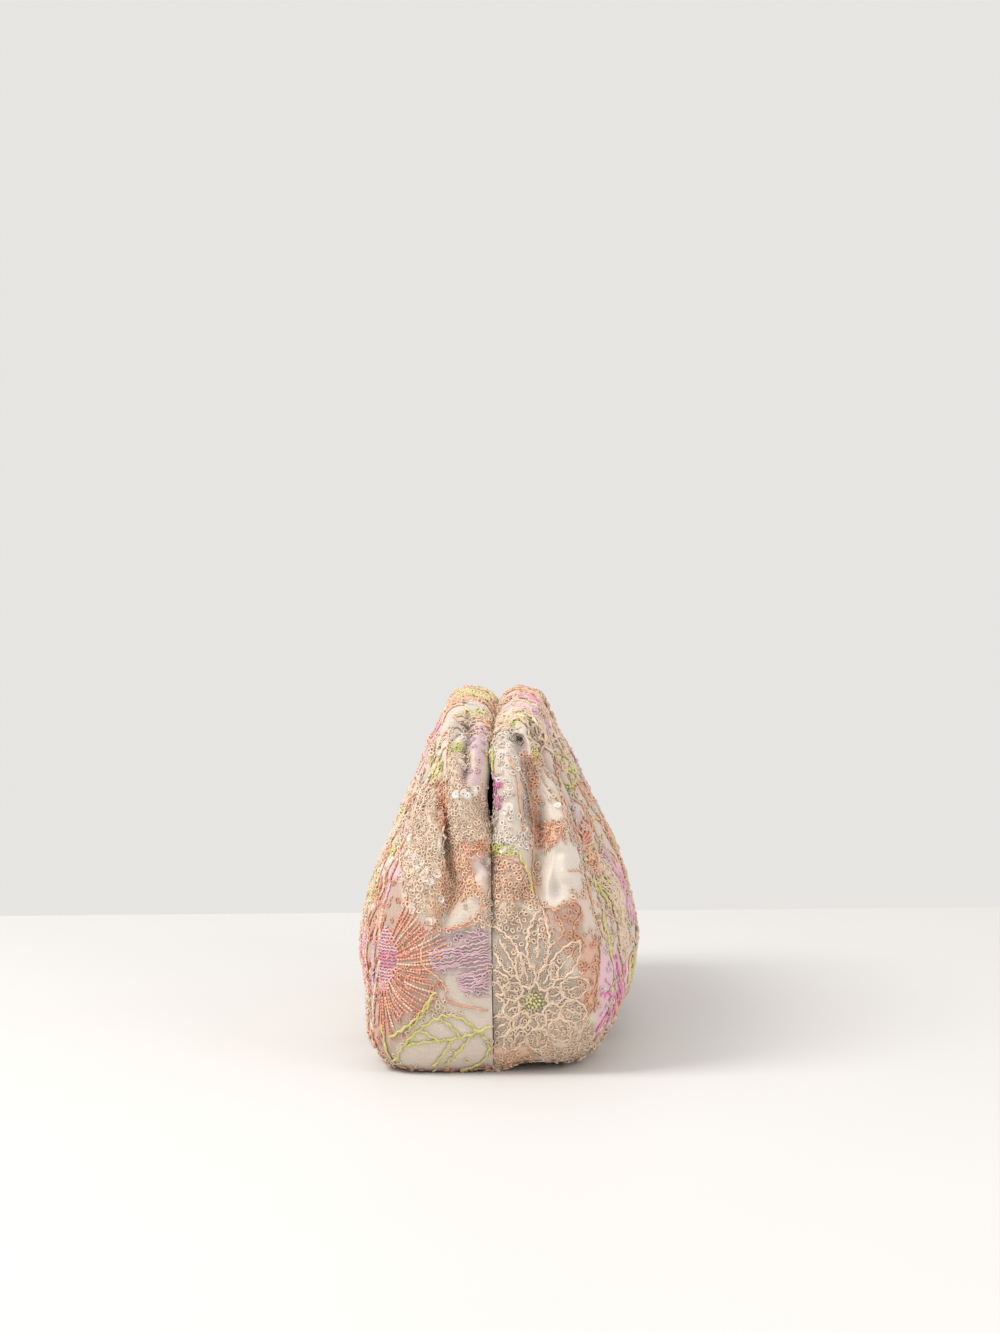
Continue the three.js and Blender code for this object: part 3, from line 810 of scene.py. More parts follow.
def inside(points: np.ndarray, outline: np.ndarray) -> np.ndarray:
    """Whether each flat point is inside a closed outline."""
    x, y = points[..., 0], points[..., 1]
    found = np.zeros(x.shape, bool)
    for (x0, y0), (x1, y1) in zip(outline, np.roll(outline, -1, axis=0)):
        crosses = (y0 > y) != (y1 > y)
        rise = y1 - y0 if y1 != y0 else 1e-9
        found ^= crosses & (x < (x1 - x0) * (y - y0) / rise + x0)
    return found


@dataclass(frozen=True)
class Patch:
    """An area of one ground colour, with loops of another sewn over a share of it."""

    ground: Colour
    loops: Colour
    share: float
    outline: Points


@dataclass(frozen=True)
class Line:
    """A line of stitches, as seen from the near end."""

    colour: Colour
    points: Points
    stitch: Stitch = Stitch.LINK
    size: float = 0.9


@dataclass(frozen=True)
class Spot:
    """A few stitches scattered round a place, as seen from the near end."""

    at: tuple[float, float]
    count: int
    reach: float
    colour: Colour = Colour.PEARL
    stitch: Stitch = Stitch.SEQUIN


GROUND_STRENGTH = 0.5
LONGEST_STEP = 5.0
SEEN_WITHIN = 2.0


class Ground:
    """Colour of the cloth at each point of the grid, and how many loops are sewn there."""

    def __init__(self, cloth: Cloth, seed: int) -> None:
        """Starts with bare satin and islands of cream loops."""
        self.cloth = cloth
        shape = cloth.points.shape
        lumps = ripple(cloth.points, 34, seed) + 0.4 * ripple(cloth.points, 13, seed + 1)
        self.tint = np.empty(shape)
        self.tint[:] = Colour.SATIN.linear()
        self.loop_tint = np.empty(shape)
        self.loop_tint[:] = Colour.CREAM.linear()
        warm = smoothstep(ripple(cloth.points, 45, seed + 2), 0.1, 0.9)[..., None]
        self.loop_tint += (Colour.PEACH.linear() - self.loop_tint) * warm
        self.tint += (Colour.BLUSH.linear() - self.tint) * warm * 0.7
        self.share = 0.9 * smoothstep(lumps, -0.25, 0.3)
        self.keep_off: np.ndarray | None = None

    def paint(self, mask: np.ndarray, ground: Colour, loops: Colour, share: float) -> None:
        """Paints an area given as a mask from 0 to 1."""
        soft = self._soften(mask.astype(float))
        if self.keep_off is not None:
            soft = soft * (1 - self.keep_off)
        worn = Colour.SATIN.linear() + (ground.linear() - Colour.SATIN.linear()) * GROUND_STRENGTH
        self.tint += (worn - self.tint) * soft[..., None]
        self.loop_tint += (loops.linear() - self.loop_tint) * soft[..., None]
        self.share += (share - self.share) * soft

    @staticmethod
    def _soften(mask: np.ndarray) -> np.ndarray:
        """The mask with its edge spread over about a millimetre."""
        wide = np.pad(mask, 1, mode="edge")
        near = wide[:-2, 1:-1] + wide[2:, 1:-1] + wide[1:-1, :-2] + wide[1:-1, 2:]
        return (mask * 2 + near) / 6


@dataclass(frozen=True)
class StitchMake:
    """Size and shape of one kind of stitch in millimetres."""

    length: float
    width: float
    thick: float
    pitch: float
    lift: float
    tilt: float
    twist: float = 0.0

    def ring(self, around: int = 6, across: int = 3) -> tuple[np.ndarray, np.ndarray]:
        """A closed loop of thread, lying flat."""
        a = np.arange(around) * 2 * math.pi / around
        b = np.arange(across) * 2 * math.pi / across + 0.5
        radius = self.thick / 2
        x = np.cos(a)[:, None] * (self.length / 2 - radius + radius * np.cos(b))
        y = np.sin(a)[:, None] * (self.width / 2 - radius + radius * np.cos(b))
        z = np.broadcast_to(radius * np.sin(b), x.shape)
        return np.stack([x, y, z], axis=-1).reshape(-1, 3), self.tube_faces(around, across, True)

    def barrel(self, sides: int = 6) -> tuple[np.ndarray, np.ndarray]:
        """A bead or short tube along X, with rounded ends."""
        b = np.arange(sides) * 2 * math.pi / sides
        rows = []
        for x, share in ((-0.5, 0.45), (-0.28, 0.95), (0.28, 0.95), (0.5, 0.45)):
            y = self.width / 2 * share * np.cos(b)
            z = self.thick / 2 * share * np.sin(b)
            rows.append(np.stack([np.full(sides, x * self.length), y, z], axis=-1))
        return np.concatenate(rows), self.tube_faces(4, sides, False)

    def cup(self, sides: int = 10) -> tuple[np.ndarray, np.ndarray]:
        """A faceted round sequin with a hole in the middle."""
        b = np.arange(sides) * 2 * math.pi / sides
        rows = []
        for radius, z in ((0.22, 0.0), (0.6, -0.1), (1.0, 0.42)):
            x = self.length / 2 * radius * np.cos(b)
            y = self.width / 2 * radius * np.sin(b)
            rows.append(np.stack([x, y, np.full(sides, z * self.thick)], axis=-1))
        return np.concatenate(rows), self.tube_faces(3, sides, False)

    @staticmethod
    def tube_faces(rows: int, sides: int, closed: bool) -> np.ndarray:
        """Quads between the rows of a tube."""
        quads = []
        for r in range(rows if closed else rows - 1):
            for s in range(sides):
                n = (s + 1) % sides
                m = (r + 1) % rows
                quads.append((r * sides + s, r * sides + n, m * sides + n, m * sides + s))
        return np.array(quads)


MAKES = {
    Stitch.RING: StitchMake(2.7, 2.2, 0.66, 2.3, 0.45, 0.40),
    Stitch.LINK: StitchMake(2.7, 0.85, 0.85, 1.55, 0.4, 0.12, 0.28),
    Stitch.BEAD: StitchMake(1.4, 1.15, 1.15, 1.43, 0.45, 0.10),
    Stitch.BUGLE: StitchMake(2.8, 1.1, 1.1, 2.8, 0.5, 0.06),
    Stitch.SEQUIN: StitchMake(3.2, 3.2, 0.45, 2.6, 0.55, 0.20),
}


class Finish(Enum):
    """What a stitch is made of."""

    THREAD = "thread"
    BEAD = "bead"
    SEQUIN = "sequin"


FINISHES = {
    Stitch.RING: Finish.THREAD,
    Stitch.LINK: Finish.THREAD,
    Stitch.BEAD: Finish.BEAD,
    Stitch.BUGLE: Finish.BEAD,
    Stitch.SEQUIN: Finish.SEQUIN,
}


@dataclass
class Sewn:
    """Stitches of one kind, ready to be made: places, directions, sizes and colours."""

    points: list[np.ndarray] = field(default_factory=list)
    axes: list[np.ndarray] = field(default_factory=list)
    tints: list[np.ndarray] = field(default_factory=list)


class Stitchery:
    """Sews stitches to one cloth, and turns them into meshes."""

    def __init__(self, cloth: Cloth, seed: int) -> None:
        """Starts with nothing sewn."""
        self.cloth = cloth
        self.floor_gap = 1.3
        self.grow = 1.0
        self.keep_off: np.ndarray | None = None
        self.rng = np.random.default_rng(seed)
        self.sewn = {stitch: Sewn() for stitch in Stitch}

    def _free(self, ij: np.ndarray) -> np.ndarray:
        """Whether stitches may be sewn at grid places."""
        if self.keep_off is None:
            return np.ones(len(ij), bool)
        return self.cloth.sample(self.keep_off[..., None], ij)[:, 0] < 0.5

    def _add(self, stitch: Stitch, ij: np.ndarray, ways: np.ndarray, tints: np.ndarray,
             size: float) -> None:
        """Adds stitches at grid places, each with its way along and its colour."""
        at = self.cloth.sample(self.cloth.points, ij)
        normals = unit(self.cloth.sample(self.cloth.normals, ij))
        make = MAKES[stitch]
        clear = (at[:, 2] > self.floor_gap) & self._free(ij)
        at, normals, ways, tints = at[clear], normals[clear], ways[clear], tints[clear]
        count = len(at)
        if count == 0:
            return
        way = unit(ways - normals * (ways * normals).sum(-1, keepdims=True))
        lean = self.rng.normal(0, make.tilt, (count, 2, 1))
        turn = make.twist * np.where(np.arange(count) % 2, 1, -1)[:, None]
        way = way * np.cos(turn) + np.cross(normals, way) * np.sin(turn)
        side = np.cross(normals, way)
        up = unit(normals + way * lean[:, 0] + side * lean[:, 1])
        way = unit(way - up * (way * up).sum(-1, keepdims=True))
        side = np.cross(up, way)
        scale = size * self.rng.normal(1, 0.06, (count, 1, 1))
        axes = np.stack([way, side, up], axis=1) * scale
        sewn = self.sewn[stitch]
        sewn.points.append(at + normals * make.lift * size)
        sewn.axes.append(axes)
        # Painted shade of the folds, carried into the stitches' colours.
        tints = tints * self.cloth.sample(self.cloth.shade, ij[clear])
        pale = self.rng.uniform(0, 0.35, (count, 1)) * (Colour.CREAM.linear() - tints)
        sewn.tints.append(np.clip((tints + pale) * self.rng.normal(1, 0.10, (count, 1)), 0.01, 1))

    def line(self, chart: Chart, points: np.ndarray, stitch: Stitch, colour: Colour,
             size: float = 1.0) -> None:
        """Sews a line of stitches along points of a chart, by a smooth curve through them."""
        smooth = self._smooth(np.asarray(points, float))
        ij, on = chart.place(smooth)
        at = self.cloth.sample(self.cloth.points, ij)
        gaps = np.linalg.norm(np.diff(at, axis=0), axis=-1)
        size = size * self.grow
        pitch = MAKES[stitch].pitch * size
        breaks = np.flatnonzero((gaps > LONGEST_STEP) | ~on[1:] | ~on[:-1]) + 1
        for run in np.split(np.arange(len(at)), breaks):
            if len(run) < 2:
                continue
            length = np.concatenate([[0], np.cumsum(gaps[run[:-1]])])
            if length[-1] < pitch:
                continue
            stops = np.arange(pitch / 2, length[-1], pitch)
            place = np.stack([np.interp(stops, length, ij[run, k]) for k in (0, 1)], axis=-1)
            ahead = np.stack([np.interp(stops + 0.6, length, ij[run, k]) for k in (0, 1)], axis=-1)
            behind = np.stack([np.interp(stops - 0.6, length, ij[run, k]) for k in (0, 1)], axis=-1)
            ways = (self.cloth.sample(self.cloth.points, ahead)
                    - self.cloth.sample(self.cloth.points, behind))
            tints = np.broadcast_to(colour.linear(), (len(place), 3))
            self._add(stitch, place, ways, tints, size)

    @staticmethod
    def _smooth(points: np.ndarray, step: float = 0.7) -> np.ndarray:
        """Points at a short step along a smooth curve through the given ones."""
        count = len(points)
        if count < 3:
            length = float(np.linalg.norm(points[-1] - points[0]))
            share = np.linspace(0, 1, max(2, int(length / step) + 1))[:, None]
            return points[0] + (points[-1] - points[0]) * share
        rows = []
        for i in range(count - 1):
            p1, p2 = points[i], points[i + 1]
            p0 = points[i - 1] if i > 0 else 2 * p1 - p2
            p3 = points[i + 2] if i + 2 < count else 2 * p2 - p1
            pieces = max(1, int(np.linalg.norm(p2 - p1) / step))
            s = (np.arange(pieces) / pieces)[:, None]
            rows.append(0.5 * (2 * p1 + (p2 - p0) * s + (2 * p0 - 5 * p1 + 4 * p2 - p3) * s**2
                               + (3 * p1 - p0 - 3 * p2 + p3) * s**3))
        return np.concatenate([*rows, points[-1:]])

    def scatter(self, chart: Chart, points: np.ndarray, stitch: Stitch,
                colour: Colour, size: float = 1.0) -> None:
        """Sews single stitches at points of a chart, each turned its own way."""
        ij, on = chart.place(np.asarray(points, float))
        ij = ij[on]
        tints = np.broadcast_to(colour.linear(), (len(ij), 3))
        self.at_places(ij, stitch, tints, size)

    def at_places(self, ij: np.ndarray, stitch: Stitch, tints: np.ndarray, size: float = 1.0) -> None:
        """Sews single stitches at grid places, each turned its own way."""
        cloth = self.cloth
        turn = self.rng.uniform(0, 2 * math.pi, (len(ij), 1))
        ways = (cloth.sample(cloth.across, ij) * np.cos(turn)
                + cloth.sample(cloth.up, ij) * np.sin(turn))
        self._add(stitch, ij, ways, tints, size)

    def loops(self, ground: Ground, pitch: float, grow_beyond: float) -> None:
        """Sews the loops of the ground, on a jittered lattice over the whole panel.

        Args:
            ground: Colours and shares of the loops.
            pitch: Pitch of the lattice.
            grow_beyond: How much larger and sparser the loops beyond the near end are.
        """
        cloth = self.cloth
        places = []
        for j in range(3, cloth.rows - 2):
            level = cloth.down[:, j].mean()
            before = cloth.down[:, j - 1].mean()
            if int(level / (pitch * 0.87)) == int(before / (pitch * 0.87)):
                continue
            shift = self.rng.uniform(0, pitch)
            stops = np.arange(shift, cloth.along[-1, j], pitch)
            i = np.interp(stops, cloth.along[:, j], np.arange(cloth.columns))
            places.append(np.stack([i, np.full_like(i, j)], axis=-1))
        ij = np.concatenate(places)
        ij += self.rng.uniform(-0.7, 0.7, ij.shape)
        ij = ij[(ij[:, 0] > 0.6) & (ij[:, 0] < cloth.columns - 1.6)]
        share = cloth.sample(ground.share[..., None], ij)[:, 0]
        tints = cloth.sample(ground.loop_tint, ij)
        chance = self.rng.uniform(size=len(ij))
        near = cloth.sample(cloth.near_end[..., None], ij)[:, 0] > 0.5
        for keep, grow in ((near & (chance < share), 1.0), (~near & (chance * grow_beyond**2 < share),
                                                            grow_beyond)):
            self.at_places(ij[keep], Stitch.RING, tints[keep], grow)

    def template(self, stitch: Stitch) -> tuple[np.ndarray, np.ndarray]:
        """Points and quads of one stitch."""
        make = MAKES[stitch]
        if stitch is Stitch.RING:
            return make.ring()
        if stitch is Stitch.SEQUIN:
            return make.cup()
        return make.barrel(4 if stitch is Stitch.LINK else 5)

    def meshes(self, finish: Finish, limit: int) -> list[bpy.types.Mesh]:
        """Meshes of every stitch with one finish, near end first, none over a number of triangles."""
        parts = []
        for stitch, sewn in self.sewn.items():
            if FINISHES[stitch] is not finish or not sewn.points:
                continue
            shape, quads = self.template(stitch)
            at = np.concatenate(sewn.points)
            axes = np.concatenate(sewn.axes)
            tints = np.concatenate(sewn.tints)
            corners = at[:, None] + np.einsum("pk,nkc->npc", shape, axes)
            parts.append((at[:, 0], corners, quads, tints))
        if not parts:
            return []
        triangles = sum(len(part[0]) * len(part[2]) * 2 for part in parts)
        pieces = -(-triangles // limit)
        ends = np.quantile(np.concatenate([part[0] for part in parts]), np.linspace(1, 0, pieces + 1))
        ends[0] += 1
        found = []
        for high, low in zip(ends[:-1], ends[1:]):
            points, faces, colours, start = [], [], [], 0
            for x, corners, quads, tints in parts:
                pick = (x < high) & (x >= low) if low > ends[-1] else (x < high)
                chosen = corners[pick]
                count = chosen.shape[1]
                points.append(chosen.reshape(-1, 3))
                offsets = start + np.arange(len(chosen)) * count
                faces.append((quads[None] + offsets[:, None, None]).reshape(-1, 4))
                colours.append(np.repeat(tints[pick], count, axis=0))
                start += len(chosen) * count
            mesh = bpy.data.meshes.new(finish.value)
            mesh.from_pydata(np.concatenate(points) * MM, [], np.concatenate(faces), shade_flat=False)
            paint_points(mesh, np.concatenate(colours))
            found.append(mesh)
        return found


def paint_points(mesh: bpy.types.Mesh, colours: np.ndarray) -> None:
    """Stores a colour at each point of a mesh."""
    tint = mesh.color_attributes.new("tint", "FLOAT_COLOR", "POINT")
    rows = np.concatenate([colours, np.ones((len(colours), 1))], axis=1)
    tint.data.foreach_set("color", rows.astype(np.float32).ravel())


def ray(angle: float) -> np.ndarray:
    """The flat direction at an angle."""
    return np.array([math.cos(angle), math.sin(angle)])


@dataclass
class Daisy:
    """A pale flower with long ring-stitched petals and a beaded centre."""

    tiers: tuple[tuple[int, float, float], ...] = ((8, 5.2, 0.55), (11, 11.0, 1.0))
    reach: float = 22.0
    reach_up: float = 37.0
    petal_width: float = 8.4
    rings: Colour = Colour.CREAM
    ground: Colour = Colour.GREIGE
    centre: Colour = Colour.OLIVE

    def sew(self, hand: Stitchery, chart: Chart, paint: Ground | None) -> None:
        """Sews the flower on a chart."""
        if paint is not None:
            flat = chart.spread()
            paint.paint(np.linalg.norm(flat, axis=-1) < self.reach, self.ground, self.rings, 0.06)
        for petals, start, share in self.tiers:
            for k in range(petals):
                self._petal(hand, chart, 2 * math.pi * (k + share / 2) / petals, start, share)
        for radius, count in ((1.2, 5), (2.6, 11), (4.0, 17)):
            turn = np.arange(count) * 2 * math.pi / count
            spots = radius * np.stack([np.cos(turn), np.sin(turn)], axis=-1)
            colour = Colour.LIME if radius < 4 else self.centre
            hand.scatter(chart, spots, Stitch.BEAD, colour, 0.9)

    def _petal(self, hand: Stitchery, chart: Chart, angle: float, start: float, share: float) -> None:
        """Sews the outline of one petal, and a short row inside it."""
        way = ray(angle)
        side = np.array([-way[1], way[0]])
        reach = share * lerp(self.reach, self.reach_up, max(0.0, way[1]) ** 2.5)
        s = np.linspace(0, 1, 9)[:, None]
        width = self.petal_width / 2 * (0.6 + 0.4 * share) * np.sin(math.pi * s**0.85) ** 0.6
        middle = way * (start + (reach - start) * s)
        for sign in (-1, 1):
            hand.line(chart, middle + side * width * sign, Stitch.LINK, self.rings, 1.15)
            hand.line(chart, middle + side * (width - 1.0) * sign, Stitch.RING, self.rings, 0.7)
        hand.line(chart, middle[2:7], Stitch.LINK, self.rings, 1.0)


@dataclass
class BeadFlower:
    """A round flower of radial bead rows about a satin-stitched middle."""

    start: float = 0.0
    sweep: float = 2 * math.pi
    inner: float = 6.0
    reach: float = 24.0
    row_gap: float = 1.8
    middle: tuple[float, float] = (3.4, 9.0)
    rows: Colour = Colour.CORAL
    other_rows: Colour = Colour.PEACH
    core: Colour = Colour.PINK
    ground: Colour = Colour.RUST

    def sew(self, hand: Stitchery, chart: Chart, paint: Ground | None) -> None:
        """Sews the flower on a chart."""
        if paint is not None:
            flat = chart.spread()
            turn = (np.arctan2(flat[..., 1], flat[..., 0]) - self.start) % (2 * math.pi)
            far = np.linalg.norm(flat, axis=-1)
            paint.paint((far < self.reach) & (turn < self.sweep), self.ground, self.rows, 0.0)
            paint.paint(np.linalg.norm(flat / self.middle, axis=-1) < 1, self.core, self.core, 0.0)
        at_reach = max(8, int(self.sweep * self.reach * 0.72 / self.row_gap))
        for k in range(at_reach):
            angle = self.start + self.sweep * k / at_reach
            lobe = 0.90 + 0.10 * math.sin(angle * 7.0)
            inner = self.inner * (1.0 if k % 2 else 1.7)
            bend = 0.10
            s = np.linspace(0, 1, 5)
            points = [ray(angle + bend * v) * lerp(inner, self.reach * lobe, v) for v in s]
            colour = self.other_rows if k % 5 == 4 else self.rows
            hand.line(chart, np.array(points), Stitch.BEAD, colour, 0.86)
        wide, tall = self.middle
        for up in np.arange(-tall + 0.8, tall, 1.25):
            half_width = wide * math.sqrt(max(0.0, 1 - (up / tall) ** 2))
            row = np.array([[-half_width, up - 0.4], [half_width, up + 0.4]])
            hand.line(chart, row, Stitch.LINK, self.core if abs(up) > 3 else Colour.MAGENTA, 0.8)


@dataclass
class StrandFlower:
    """A flower of soft petals, each filled with fanned strands of chain stitch."""

    start: float = 0.0
    sweep: float = 2 * math.pi
    petals: int = 6
    inner: float = 2.5
    reach: float = 19.0
    strands: int = 7
    thread: Colour = Colour.LILAC
    ground: Colour = Colour.MAUVE
    core: Colour | None = Colour.MAGENTA

    def sew(self, hand: Stitchery, chart: Chart, paint: Ground | None) -> None:
        """Sews the flower on a chart."""
        if paint is not None:
            flat = chart.spread()
            turn = (np.arctan2(flat[..., 1], flat[..., 0]) - self.start) % (2 * math.pi)
            far = np.linalg.norm(flat, axis=-1)
            paint.paint((far < self.reach * 0.9) & (turn < self.sweep), self.ground, self.thread, 0.0)
        for p in range(self.petals):
            middle = self.start + self.sweep * (p + 0.5) / self.petals
            spread = self.sweep / self.petals * 0.42
            for k in range(self.strands):
                share = 2 * k / (self.strands - 1) - 1
                reach = self.reach * (1 - 0.22 * share**2)
                s = np.linspace(0, 1, 5)
                points = [ray(middle + spread * share * (0.35 + 0.65 * v**0.6))
                          * lerp(self.inner, reach, v) for v in s]
                hand.line(chart, np.array(points), Stitch.LINK, self.thread, 0.82)
        if self.core is not None:
            turn = np.arange(9) * 2.4
            spots = 0.75 * np.sqrt(np.arange(9))[:, None] * np.stack([np.cos(turn), np.sin(turn)], axis=-1)
            hand.scatter(chart, spots, Stitch.BEAD, self.core)


@dataclass
class Strands:
    """A petal filled with side by side strands, from one edge to another."""

    start: Points
    end: Points
    count: int = 8
    thread: Colour = Colour.LILAC

    def sew(self, hand: Stitchery, chart: Chart, paint: Ground | None) -> None:
        """Sews the strands on a chart."""
        (a, b), (c, d) = np.array(self.start), np.array(self.end)
        for share in np.linspace(0, 1, self.count):
            foot, tip = lerp(a, b, share), lerp(c, d, share)
            bow = np.array([0.0, 0.9 * math.sin(7 * share)])
            points = np.stack([foot, (foot * 2 + tip) / 3 + bow, (foot + tip * 2) / 3 - bow, tip])
            hand.line(chart, points, Stitch.LINK, self.thread, 0.95)


@dataclass
class Star:
    """A flower of thin tapered rays round a knot of bright beads."""

    start: float = 0.0
    sweep: float = 2 * math.pi
    rays: int = 11
    reach: float = 17.0
    knot: float = 3.0
    tip: Colour = Colour.PINK
    root: Colour = Colour.MAGENTA
    ground: Colour = Colour.PINK

    def sew(self, hand: Stitchery, chart: Chart, paint: Ground | None) -> None:
        """Sews the flower on a chart."""
        if paint is not None:
            flat = chart.spread()
            paint.paint(np.linalg.norm(flat, axis=-1) < self.reach * 0.85, self.ground, Colour.CREAM, 0.05)
        for k in range(self.rays):
            way = ray(self.start + self.sweep * k / self.rays)
            side = np.array([-way[1], way[0]])
            reach = self.reach * (1.0 if k % 2 else 0.8)
            hand.line(chart, np.array([way * self.knot, way * reach * 0.5]), Stitch.LINK, self.root, 0.85)
            for sign in (-0.5, 0.5):
                foot = way * reach * 0.35 + side * sign
                hand.line(chart, np.array([foot, way * reach + side * sign * 1.5]), Stitch.LINK, self.tip,
                          0.75)
        count = 16
        turn = np.arange(count) * 2.4
        spots = self.knot * np.sqrt(np.arange(count) / count)[:, None]
        hand.scatter(chart, spots * np.stack([np.cos(turn), np.sin(turn)], axis=-1), Stitch.BEAD, self.root)


@dataclass
class Leaf:
    """A pointed leaf: outline and veins in bright beads on bare satin."""

    length: float = 30.0
    width: float = 15.0
    veins: int = 4
    thread: Colour = Colour.LIME
    ground: Colour = Colour.WHITE

    def sew(self, hand: Stitchery, chart: Chart, paint: Ground | None) -> None:
        """Sews the leaf on a chart, from its stalk to its tip."""
        s = np.linspace(0, 1, 9)
        wide = self.width / 2 * np.sin(math.pi * s**0.85)
        outline = {sign: np.stack([self.length * s, sign * wide], axis=-1) for sign in (-1, 1)}
        if paint is not None:
            edge = np.concatenate([outline[1], outline[-1][::-1]])
            paint.paint(inside(chart.spread(), edge), self.ground, Colour.CREAM, 0.0)
        for points in outline.values():
            hand.line(chart, points, Stitch.LINK, self.thread, 0.85)
        hand.line(chart, np.array([[-3.0, 0.0], [self.length * 0.95, 0.0]]), Stitch.BEAD, self.thread, 0.9)
        for k in range(self.veins):
            foot = self.length * (0.12 + 0.7 * k / self.veins)
            at = foot + self.length * 0.16
            out = 0.8 * float(np.interp(at, self.length * s, wide))
            for sign in (-1, 1):
                hand.line(chart, np.array([[foot, 0.0], [at, sign * out]]), Stitch.BEAD, self.thread, 0.85)


@dataclass
class Petals:
    """Bare satin petals side by side, outlined in chain stitch."""

    count: int = 3
    length: float = 24.0
    spread: float = 0.75
    ground: Colour = Colour.WHITE
    edges: tuple[Colour, ...] = (Colour.ORANGE, Colour.PEACH, Colour.ORANGE)

    def sew(self, hand: Stitchery, chart: Chart, paint: Ground | None) -> None:
        """Sews the petals on a chart."""
        s = np.linspace(0, 1, 9)[:, None]
        for k in range(self.count):
            angle = self.spread * (k - (self.count - 1) / 2)
            way = ray(angle)
            side = np.array([-way[1], way[0]])
            length = self.length * (1 - 0.2 * abs(angle))
            wide = 0.2 * length * np.sin(math.pi * s**1.3)
            edge = np.concatenate([way * length * s + side * wide, (way * length * s - side * wide)[::-1]])
            if paint is not None:
                ground = self.ground if k % 2 else Colour.RUST
                paint.paint(inside(chart.spread(), edge), ground, Colour.PEACH, 0.05 if k % 2 else 0.5)
            hand.line(chart, edge, Stitch.LINK, self.edges[k % len(self.edges)], 0.8)


@dataclass
class Sprig:
    """A few short fingers of bugle beads from one stalk."""

    fingers: int = 5
    reach: float = 12.0
    sweep: float = 2.0
    thread: Colour = Colour.LIME

    def sew(self, hand: Stitchery, chart: Chart, paint: Ground | None) -> None:
        """Sews the sprig on a chart, pointing to the right."""
        for k in range(self.fingers):
            angle = self.sweep * (k / (self.fingers - 1) - 0.5)
            reach = self.reach * (1 - 0.25 * abs(angle))
            points = np.array([[0.0, 0.0], ray(angle * 0.8) * reach * 0.5, ray(angle) * reach])
            hand.line(chart, points, Stitch.BUGLE, self.thread, 0.9)
        hand.line(chart, np.array([[-6.0, -1.5], [-3.0, -0.6], [0.0, 0.0]]), Stitch.BEAD, self.thread, 0.9)


@dataclass
class Scroll:
    """A wandering outline of chain stitch."""

    points: np.ndarray
    thread: Colour = Colour.ORANGE

    @classmethod
    def wander(cls, rng: np.random.Generator, length: float, thread: Colour) -> Scroll:
        """A scroll of a given length that turns its own way."""
        heading = rng.uniform(0, 2 * math.pi)
        turn = rng.uniform(-0.35, 0.35)
        at = np.zeros(2)
        points = [at.copy()]
        for _ in range(int(length / 3)):
            turn = np.clip(turn + rng.normal(0, 0.24), -0.5, 0.5)
            heading += turn
            at = at + 3 * ray(heading)
            points.append(at.copy())
        return cls(np.array(points), thread)

    def sew(self, hand: Stitchery, chart: Chart, paint: Ground | None) -> None:
        """Sews the scroll on a chart."""
        hand.line(chart, self.points, Stitch.LINK, self.thread, 0.85)


Motif = Daisy | BeadFlower | StrandFlower | Strands | Star | Leaf | Petals | Sprig | Scroll


@dataclass(frozen=True)
class Placed:
    """A motif at a place of the near view; laid ones keep their true lengths on the cloth."""

    motif: Motif
    at: tuple[float, float] = (0.0, 0.0)
    turn: float = 0.0
    laid: bool = True


